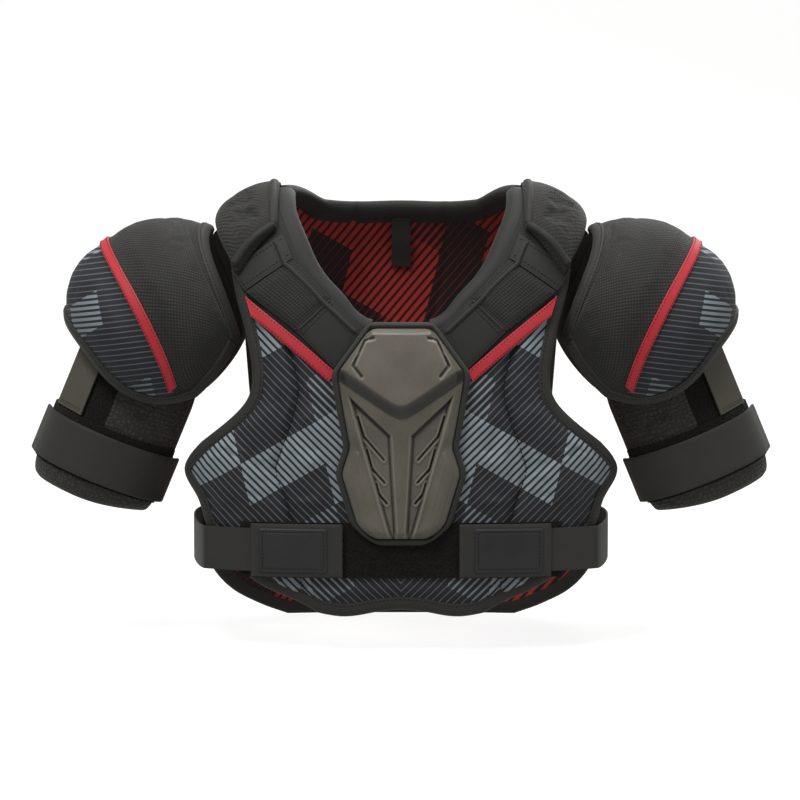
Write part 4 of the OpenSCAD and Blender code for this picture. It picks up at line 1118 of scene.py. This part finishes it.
def back_edge_line(w):
    half = half_edge(place_back, 40, w)
    return np.concatenate([half, mirrored(half[-2::-1])])


back_tape = tape("back_edge_tape", back_edge_line(1.0), back_edge_line(0.001), BINDING, tape_cloth)
settle(back_tape, "back", "black_fabric", "back_binding")


def nape_line(w):
    across = np.linspace(0, NECK_HALF_W / YOKE_HALF_W - 0.01, 60)
    half = place_back(across, np.ones(60), np.full(60, w))
    return np.concatenate([mirrored(half[:0:-1]), half])


nape_collar = tape("nape_collar_roll", nape_line(1.0), nape_line(0.001), NAPE, facing)
settle(nape_collar, "back", "black_fabric", "back_collar")

# Spine pad and locker loop
SPINE_HALF_W = 42
SPINE_L = 240
SPINE_RIBS = 6


def place_spine(u, v, w):
    level = level_at(np.float64(0), mix(HEM_Z + 60, -40, v))
    half = SPINE_HALF_W * mix(0.7, 1, v)
    rim = rim_gap(u, v, 2 * half, SPINE_L)
    dome = rounded(rim, 12)
    ribs = 1.5 * np.abs(np.sin(np.pi * SPINE_RIBS * v)) ** 0.6
    x = mix(1, -1, u) * half
    return skin(x, level, BACK, PLY_IN + w * (3.5 + (4.6 + ribs) * dome))


spine = formed("spine_pad_cover", blank(44, 120, 3), place_spine, knit_black)
settle(spine, "back", "black_fabric", "spine_pad", fill=0.8)


def place_locker_loop(u, v, w):
    off = -2.4 + 1.6 * w - 3 * bell((v - 0.45) / 0.3)
    return skin(mix(9, -9, u), mix(34, NAPE_LEVEL - 3, v), BACK, off)


locker_loop = formed("locker_loop_tape", blank(12, 40, 1), place_locker_loop, strap_cloth)
settle(locker_loop, "back", "smooth_webbing", "locker_loop")

# Shoulder caps
CAP_MIDDLE = np.array([205.0, 0, -80])
CAP_R = 100
CAP_CROWN = 90
CAP_HALF_D = 96
CAP_T = 9
CUP_T = 2.5
CUP_OUT = -CAP_T - 1.2
CAP_WRAP = 128
CAP_L = 330
CAP_W = 170
CAP_SEAM = 17
CAP_TRIM_END = 114.5
CAP_TURN = math.radians(38)
CAP_UP = np.array([math.cos(CAP_TURN), 0, math.sin(CAP_TURN)])
CAP_DOWN = np.array([math.sin(CAP_TURN), 0, -math.cos(CAP_TURN)])
CAP_RIM = [[0, 36], [50, 42], [80, 48], [100, 47], [118, 38], [CAP_WRAP, 24]]


def cap_low(a):
    """The cap's inner edge."""
    return -74 + 57 * (np.abs(a) / CAP_WRAP) ** 2


def cap_rim(a):
    """The cap's outer edge."""
    return curve(CAP_RIM, np.abs(a))


def cap_point(a, b, off):
    """A point off the cap's dome: a runs round the arm from its outer side, b from the crown down."""
    ar, br = np.radians(a), np.radians(b)
    off = off + 5 * np.sin(np.radians(np.clip(2.4 * b - 10, -100, 80))) * soft_step((b + 76) / 30)
    up = (CAP_R + off) * np.cos(br) * np.cos(ar)
    down = (np.where(b < 0, CAP_CROWN, CAP_R) + off) * np.sin(br)
    deep = (CAP_HALF_D + off) * np.cos(br) ** np.where(b < 0, 1, 0.7) * np.sin(ar)
    return (CAP_MIDDLE + up[..., None] * CAP_UP + down[..., None] * CAP_DOWN
            - deep[..., None] * np.array([0, 1, 0]))


def trim_line(a):
    """Where the red trim crosses the cap."""
    return -10 + 0.0028 * a * a


def cap_spot(u, v):
    """Place on the cap, as angles round the arm and down from the crown."""
    a = mix(-CAP_WRAP, CAP_WRAP, u)
    return a, mix(cap_low(a), cap_rim(a), v)


def place_cap(u, v, w):
    a, b = cap_spot(u, v)
    rim = rim_gap(u, v, CAP_L, CAP_W)
    full = soft_step((rim - 7) / 13)
    swell = 1.6 * soft_step((np.abs(b - trim_line(a)) - 5) / 12) * soft_step((rim - 12) / 26)
    groove = 1.8 * bell((v * CAP_W - CAP_SEAM) / 2.4) * soft_step((np.abs(a) - 24) / 20)
    outer = mix(-1.6, 0, full) + swell - groove
    inner = mix(-CAP_T + 1.6, -CAP_T, full)
    return cap_point(a, b, mix(inner, outer, w))


def cap_fabric(u, v, w):
    a, b = cap_spot(u, v)
    return np.where(w < LINING, 2, np.where(b > trim_line(a), 1, 0))


def cap_free(u, v, w):
    a, b = cap_spot(u, v)
    rim = rim_gap(u, v, CAP_L, CAP_W)
    return (soft_step((rim - 10) / 10) * soft_step((np.abs(b - trim_line(a)) - 5) / 6)
            * soft_step((np.abs(v * CAP_W - CAP_SEAM) - 3) / 6) * (w > FACE))


cap = formed("cap_cover", blank(120, 70, 2), place_cap, knit_black, print_cap, knit_square,
             slot_of=cap_fabric)
plump(cap, cap_free, 2, slack=0.012)
pair(cap, "{}_cap", "printed_fabric", "{}_cap_shell", fill=0.8)


def cap_edge_line(w):
    u, v = round_blank(np.linspace(0, 1, 110)[:-1], np.linspace(0, 1, 60)[:-1])
    return place_cap(u, v, np.full(len(u), w))


cap_tape = tape("cap_edge_tape", cap_edge_line(1.0), cap_edge_line(0.0), BINDING, tape_cloth, hoop=True)
pair(cap_tape, "{}_cap", "black_fabric", "{}_cap_binding")
row, row_out = edge_row(cap_edge_line(1.0), cap_edge_line(0.0), *BINDING_ROW, hoop=True)
pair(thread_row("cap_tape_thread", row, row_out, black_thread), "{}_cap", "black_fabric")


def place_cap_trim(u, v, w):
    a = mix(-CAP_TRIM_END, CAP_TRIM_END, v)
    half = 90 * TRIM_W / (math.pi * CAP_R)
    swell = 0.3 * soft_step(np.minimum(u, 1 - u) / 0.15)
    return cap_point(a, trim_line(a) + (2 * u - 1) * half, 0.5 + w * (1.1 + swell))


cap_trim = formed("cap_red_trim", blank(10, 150, 1), place_cap_trim, red_tape)
pair(cap_trim, "{}_cap", "red_trim", "{}_cap_trim")
trim_threads("cap_trim", place_cap_trim, 0.005, 200, "{}_cap")


def place_cup(u, v, w):
    a = mix(-0.86, 0.86, u) * CAP_WRAP
    b = mix(cap_low(a), cap_rim(a), mix(0.1, 0.9, v))
    return cap_point(a, b, CUP_OUT - CUP_T + w * CUP_T)


pair(formed("cap_inner_cup", blank(70, 40, 1), place_cup, cup_skin), "{}_cap", "cup_plastic", "{}_cap_cup")

CAP_STRAP_GAP = 5.6


def place_cap_strap(u, v, w):
    """From beside the cap's inner edge over the edge of the back, and onto the back's outer face."""
    level, a = mix(6, 84, v), mix(-120, -14, v)
    edge = curve(BACK_EDGE, height_at(level))
    lift = 1.6 * w
    start = cap_point(a, cap_low(a), -CAP_T + 0 * a) + np.stack([0 * a - CAP_STRAP_GAP, 0 * a, lift], -1)
    insets = (share * mix(0.4, 1, v) for share in (0, 13, 28))
    return laid([start] + [skin(edge - inset, level, BACK, PLY_IN + 0.2 + lift) for inset in insets], u)


cap_strap = formed("cap_strap_webbing", blank(24, 16, 1), place_cap_strap, strap_cloth)
pair(cap_strap, "back", "smooth_webbing", "{}_cap_strap")

# Belly straps
BELLY_W = 38
TAB_W = 47
TAB_L = 77
PATCH_W = TAB_W - 8
PATCH_L = 57
PATCH_FROM = 13
BELLY_END_X = 51
LEAVE_X = WING_HALF_W - 21
ANCHOR_X = BACK_HALF_W - 8
ANCHOR_L = 26


def up_strap(v, width):
    """The way up a level strap from its middle line."""
    return np.stack([0 * v, 0 * v, (v - 0.5) * width], -1)


def belly_front(x, off):
    return on_chest(x, BELLY_Z + 0 * x, off)


def belly_rear(x, off):
    return skin(x, BELLY_Z - SPRING_Z + 0 * x, BACK, off)


def belly_path(off):
    """The strap's line at a stand off the form: along the chest, then over the side to the back."""
    one = np.ones(1)
    a, b = belly_front(LEAVE_X * one, off)[0], belly_rear(ANCHOR_X * one, off)[0]
    reach = 0.13 * np.linalg.norm(b - a)
    along_a = unit(a - belly_front((LEAVE_X - 1) * one, off)[0])
    along_b = unit(belly_rear((ANCHOR_X + 1) * one, off)[0] - b)
    p = [a, a + 0.4 * reach * along_a, b + 1.5 * reach * along_b, b]
    f = (1 - np.cos(np.linspace(0, math.pi, 80)[:, None])) / 2
    side = (p[0] * (1 - f) ** 3 + p[1] * 3 * f * (1 - f) ** 2
            + p[2] * 3 * f**2 * (1 - f) + p[3] * f**3)
    front = belly_front(np.linspace(BELLY_END_X + 2, LEAVE_X, 60)[:-1], off)
    return np.concatenate([front, side])


belly_lines = np.stack([belly_path(OVER_PLY), belly_path(BELLY_OUT)])


def place_belly(u, v, w):
    at = u * (belly_lines.shape[1] - 1)
    ids = np.arange(belly_lines.shape[1])
    low, high = (np.stack([np.interp(at, ids, line[:, k]) for k in range(3)], -1) for line in belly_lines)
    return mix(low, high, w[..., None]) + up_strap(v, BELLY_W)


def place_tab(u, v, w):
    edge = soft_step(rim_gap(u, v, TAB_L, TAB_W) / 2)
    spot = belly_front(BELLY_END_X + TAB_L * u, TAB_IN + w * (TAB_OUT - TAB_IN - 0.5 + 0.6 * edge))
    return spot + up_strap(v, TAB_W)


def place_patch(u, v, w):
    rim = rim_gap(u, v, PATCH_L, PATCH_W)
    swell = 0.9 * soft_step(rim / 1.2) - 0.5 * bell((rim - 3) / 0.9)
    spot = belly_front(BELLY_END_X + PATCH_FROM + PATCH_L * u, PATCH_IN - 0.3 + w * (0.7 + swell))
    return spot + up_strap(v, PATCH_W)


def place_anchor(u, v, w):
    x = mix(ANCHOR_X - 0.8, ANCHOR_X - ANCHOR_L, u)
    return belly_rear(x, mix(PLY_IN, BELLY_OUT, w)) + up_strap(v, BELLY_W)


for name, node, size, place, cloth, body, slot in (
        ("strap_elastic", "strap", (138, 18), place_belly, strap_cloth, "{}_belly", "smooth_webbing"),
        ("hook_tab", "tab", (48, 30), place_tab, strap_cloth, "{}_belly", "smooth_webbing"),
        ("rubber_patch", "patch", (76, 52), place_patch, rubber, "{}_belly", "rubber_patch"),
        ("anchor_webbing", "anchor", (16, 20), place_anchor, strap_cloth, "back", "smooth_webbing")):
    pair(formed("belly_" + name, blank(*size, 1), place, cloth), body, slot, "{}_belly_" + node)

PATCH_ROW_U = 0.053
PATCH_ROW_V = 0.077
run = np.linspace(0, 1, 40)
ring_u, ring_v = round_blank(run, run)
ring_u = mix(PATCH_ROW_U, 1 - PATCH_ROW_U, ring_u)
ring_v = mix(PATCH_ROW_V, 1 - PATCH_ROW_V, ring_v)
patch_row = stitches("belly_patch_thread", place_patch, ring_u, ring_v, black_thread, 3.3, 2.3, 1.1)
pair(patch_row, "{}_belly", "rubber_patch")

# Bicep guards
ARM_TILT = math.radians(22.5)
ARM_TOP = np.array([217.0, 0, -75])
ARM_ALONG = np.array([math.sin(ARM_TILT), 0, -math.cos(ARM_TILT)])
ARM_OUT = np.array([math.cos(ARM_TILT), 0, math.sin(ARM_TILT)])
GUARD_R = 60
GUARD_T = 8
GUARD_TOP = 50
GUARD_HEM = 182
GUARD_FROM = -150
GUARD_TO = 166
GUARD_L = 330
GUARD_H = GUARD_HEM - GUARD_TOP
STRAP_W = 43
STRAP_T = 2.5
STRAP_L = 190
STRAP_MID = GUARD_TOP + 0.69 * GUARD_H
STRAP_LOW = STRAP_MID - STRAP_W / 2
STRAP_HIGH = STRAP_MID + STRAP_W / 2
LOOP_R = GUARD_R + 0.4
STRAP_R = LOOP_R + 2.0


def arm_point(a, along, r):
    """A point round the arm: its angle from the outside, its way down the arm, and its radius."""
    a = np.radians(a)
    along, r = along + 0 * a, r + 0 * a
    return (ARM_TOP + along[..., None] * ARM_ALONG + (r * np.cos(a))[..., None] * ARM_OUT
            - (r * np.sin(a))[..., None] * np.array([0, 1, 0]))


def guard_hem(a):
    return GUARD_HEM - 6 * soft_step((np.abs(a) - 80) / 80)


def place_guard(u, v, w):
    a = mix(GUARD_FROM, GUARD_TO, u)
    along = mix(GUARD_TOP, guard_hem(a), v)
    taper = -5 * np.clip((v - 0.85) / 0.15, 0, None) ** 2 - 3 * np.clip((0.2 - v) / 0.2, 0, None) ** 2
    rim = rim_gap(u, v, GUARD_L, GUARD_H)
    round_off = 1 - rounded(rim, 6)
    thick = GUARD_T * (1 - w) + (2 * w - 1) * 2.6 * round_off
    return arm_point(a, along, GUARD_R + taper + 1.4 * guard_puff(a, along, rim) - thick)


def guard_puff(a, along, rim):
    """Share of fullness: the embossed panels before and behind the link strap, above the loop band."""
    return (soft_step((rim - 6) / 12) * soft_step((STRAP_LOW - 10 - along) / 14)
            * np.maximum(soft_step((a - 88) / 14), soft_step((-a - 2) / 14)))


def guard_free(u, v, w):
    a = mix(GUARD_FROM, GUARD_TO, u)
    rim = rim_gap(u, v, GUARD_L, GUARD_H)
    return guard_puff(a, mix(GUARD_TOP, guard_hem(a), v), rim) * (w > FACE)


def guard_fabric(u, v, w):
    return np.where(w < LINING, 1, 0)


guard = formed("bicep_guard_cover", blank(110, 52, 2), place_guard, mesh_emboss, knit_black,
               slot_of=guard_fabric)
plump(guard, guard_free, 2.5)
pair(guard, "{}_guard", "black_fabric", "{}_bicep_guard", fill=0.8)


def shag(a, along):
    """Uneven height of the loop pile on the arm."""
    return 0.3 * np.sin(a * 3.1 + 4 * np.sin(along)) * np.sin(along * 2.9 + 3 * np.sin(a * 0.8))


def place_guard_loop(u, v, w):
    a, along = mix(-24, 160, u), mix(STRAP_LOW - 7, STRAP_HIGH + 2, v)
    return arm_point(a, along, LOOP_R + w * (1.5 + shag(a, along)))


def place_guard_pile(u, v, w):
    a, along = mix(14, 82, u), mix(GUARD_TOP + 14, STRAP_LOW - 7.2, v)
    return arm_point(a, along, GUARD_R - 0.8 + w * (1.2 + shag(a, along)))


def place_strap(u, v, w):
    a, along = mix(-2, 172, u), mix(STRAP_LOW, STRAP_HIGH, v)
    flare = 3.2 * np.clip((16 - a) / 18, 0, None) ** 2
    edge = soft_step(rim_gap(u, v, STRAP_L, STRAP_W) / 2)
    return arm_point(a, along, STRAP_R + flare + w * (STRAP_T - 0.6 + 0.7 * edge))


def place_elastic(u, v, w):
    a, along = mix(GUARD_TO + 1, GUARD_FROM + 359, u), mix(STRAP_LOW + 4, STRAP_HIGH - 4, v)
    return arm_point(a, along, GUARD_R - GUARD_T / 2 + w * (STRAP_T + 0.4 * np.sin(u * 60)))


# The link strap from the guard to the cap's rim: its angle on the arm, its place on the cap, its width
LINK_A = 43
LINK_U = 40
LINK_V = 24
LINK_W = 36
LINK_HALF = 90 * LINK_W / (math.pi * GUARD_R)


def place_link(u, v, w):
    s = 2 * u - 1
    lift = 0.3 + 1.6 * w
    flat = mix(1, 1 / np.cos(np.radians(s * LINK_HALF)), 0.7)
    rows = [arm_point(LINK_A + s * LINK_HALF, along, (LOOP_R + lift) * flat)
            for along in (STRAP_LOW - 8, mix(STRAP_LOW - 8, GUARD_TOP + 8, 0.5), GUARD_TOP + 8)]
    end = cap_point(LINK_U + 0.8 * s * LINK_HALF, LINK_V + 0 * s, CUP_OUT - CUP_T - 3.6 + lift)
    return laid(rows + [end], v)


# The pile under the link strap stands for no solid
for name, size, place, cloth, body, slot, *nodes in (
        ("bicep_loop_band", (190, 52), place_guard_loop, loop_pile,
         "{}_guard", "loop_pile", "{}_bicep_loop"),
        ("bicep_link_pile", (70, 50), place_guard_pile, loop_pile,
         "{}_guard", "loop_pile"),
        ("bicep_hook_strap", (120, 26), place_strap, strap_cloth,
         "{}_band", "smooth_webbing", "{}_bicep_strap"),
        ("bicep_elastic_band", (60, 20), place_elastic, elastic,
         "{}_guard", "smooth_webbing", "{}_bicep_elastic"),
        ("link_strap_webbing", (20, 60), place_link, link_webbing,
         "{}_guard", "smooth_webbing", "{}_link_strap")):
    pair(formed(name, blank(*size, 1), place, cloth), body, slot, *nodes)

across = np.linspace(0.05, 0.95, 30)
for at in (0.03, 0.055):
    row = stitches("link_strap_thread_%d" % (at * 1000), place_link, across, 0 * across + at, black_thread,
                   3.0, 2.1, 0.8)
    pair(row, "{}_guard", "smooth_webbing")

# Studio: a pale floor that sweeps up behind, soft lamps, and the camera of the photograph
FLOOR_SIZE = 9.0
FLOOR_DROP = 0.002
SWEEP_FROM = 2.2
SWEEP_R = 1.2


def background_share(tree, mirrored_share):
    """How much of its white a background shows: all of it to the camera, a share of it in reflections."""
    seen = add(tree, "LightPath").outputs
    mirror = add(tree, "Math", {0: seen["Is Glossy Ray"], 1: seen["Is Transmission Ray"]},
                 operation="MAXIMUM").outputs[0]
    mirror = add(tree, "Math", {0: mirror, 1: mirrored_share}, operation="MULTIPLY").outputs[0]
    return add(tree, "Math", {0: seen["Is Camera Ray"], 1: mirror}, operation="MAXIMUM").outputs[0]


def place_floor(u, v, w):
    run = (v - 0.5) * FLOOR_SIZE
    turn = np.clip((run - SWEEP_FROM) / SWEEP_R, 0, math.pi / 2)
    y = np.minimum(run, SWEEP_FROM) + SWEEP_R * np.sin(turn)
    wall = np.maximum(run - SWEEP_FROM - SWEEP_R * math.pi / 2, 0)
    z = cad_box[0][2] - FLOOR_DROP + SWEEP_R * (1 - np.cos(turn)) + wall
    return np.stack([(u - 0.5) * FLOOR_SIZE, y, z], -1) / MM


# Matt white paper, which lights the object a little from below and shows white to the camera
paper, paper_tree, paper_shader = surface("studio_paper", Roughness=0.9)
paper_shader.inputs["Base Color"].default_value = srgb("#989896")
paper_shader.inputs["Emission Color"].default_value = srgb("#ffffff")
shown = background_share(paper_tree, 0.4)
glow = add(paper_tree, "Math", {0: shown, 1: 0.86}, operation="MULTIPLY").outputs[0]
paper_tree.links.new(glow, paper_shader.inputs["Emission Strength"])
floor = formed("studio_floor", blank(4, 90), place_floor, paper)

world = bpy.data.worlds.new("studio")
scene.world = world
world.use_nodes = True
backdrop = world.node_tree.nodes["Background"]
backdrop.inputs["Color"].default_value = srgb("#ffffff")
shown = background_share(world.node_tree, 0.3)
plain = add(world.node_tree, "MapRange", {0: shown, 3: 0.1, 4: 1.0}).outputs[0]
world.node_tree.links.new(plain, backdrop.inputs["Strength"])

for name, spot, aim, size, power in (
        ("key_softbox", (-1.1, -1.7, 2.5), (0, 0, -0.15), 1.0, 46),
        ("fill_softbox", (2.2, -2.2, 1.1), (0, 0, -0.15), 1.6, 8),
        ("top_softbox", (0.3, -0.1, 2.3), (0, 0, -0.1), 1.4, 38),
        ("rear_softbox", (0.9, 2.4, 1.5), (0, 0, -0.15), 1.6, 26)):
    lamp = bpy.data.lights.new(name, "AREA")
    lamp.size = size
    lamp.energy = power
    holder = bpy.data.objects.new(name, lamp)
    holder.location = spot
    holder.rotation_euler = (Vector(aim) - Vector(spot)).to_track_quat("-Z", "Y").to_euler()
    scene.collection.objects.link(holder)

camera = bpy.data.cameras.new("photo_camera")
camera.lens = 120
camera.sensor_width = 36
camera.dof.use_dof = False
eye = bpy.data.objects.new("photo_camera", camera)
eye.location = (-0.0009, -2.454, 0.0154)
eye.rotation_euler = (Vector((-0.0009, -0.06, -0.152)) - eye.location).to_track_quat("-Z", "Y").to_euler()
scene.collection.objects.link(eye)
scene.camera = eye
scene.view_settings.view_transform = "Standard"
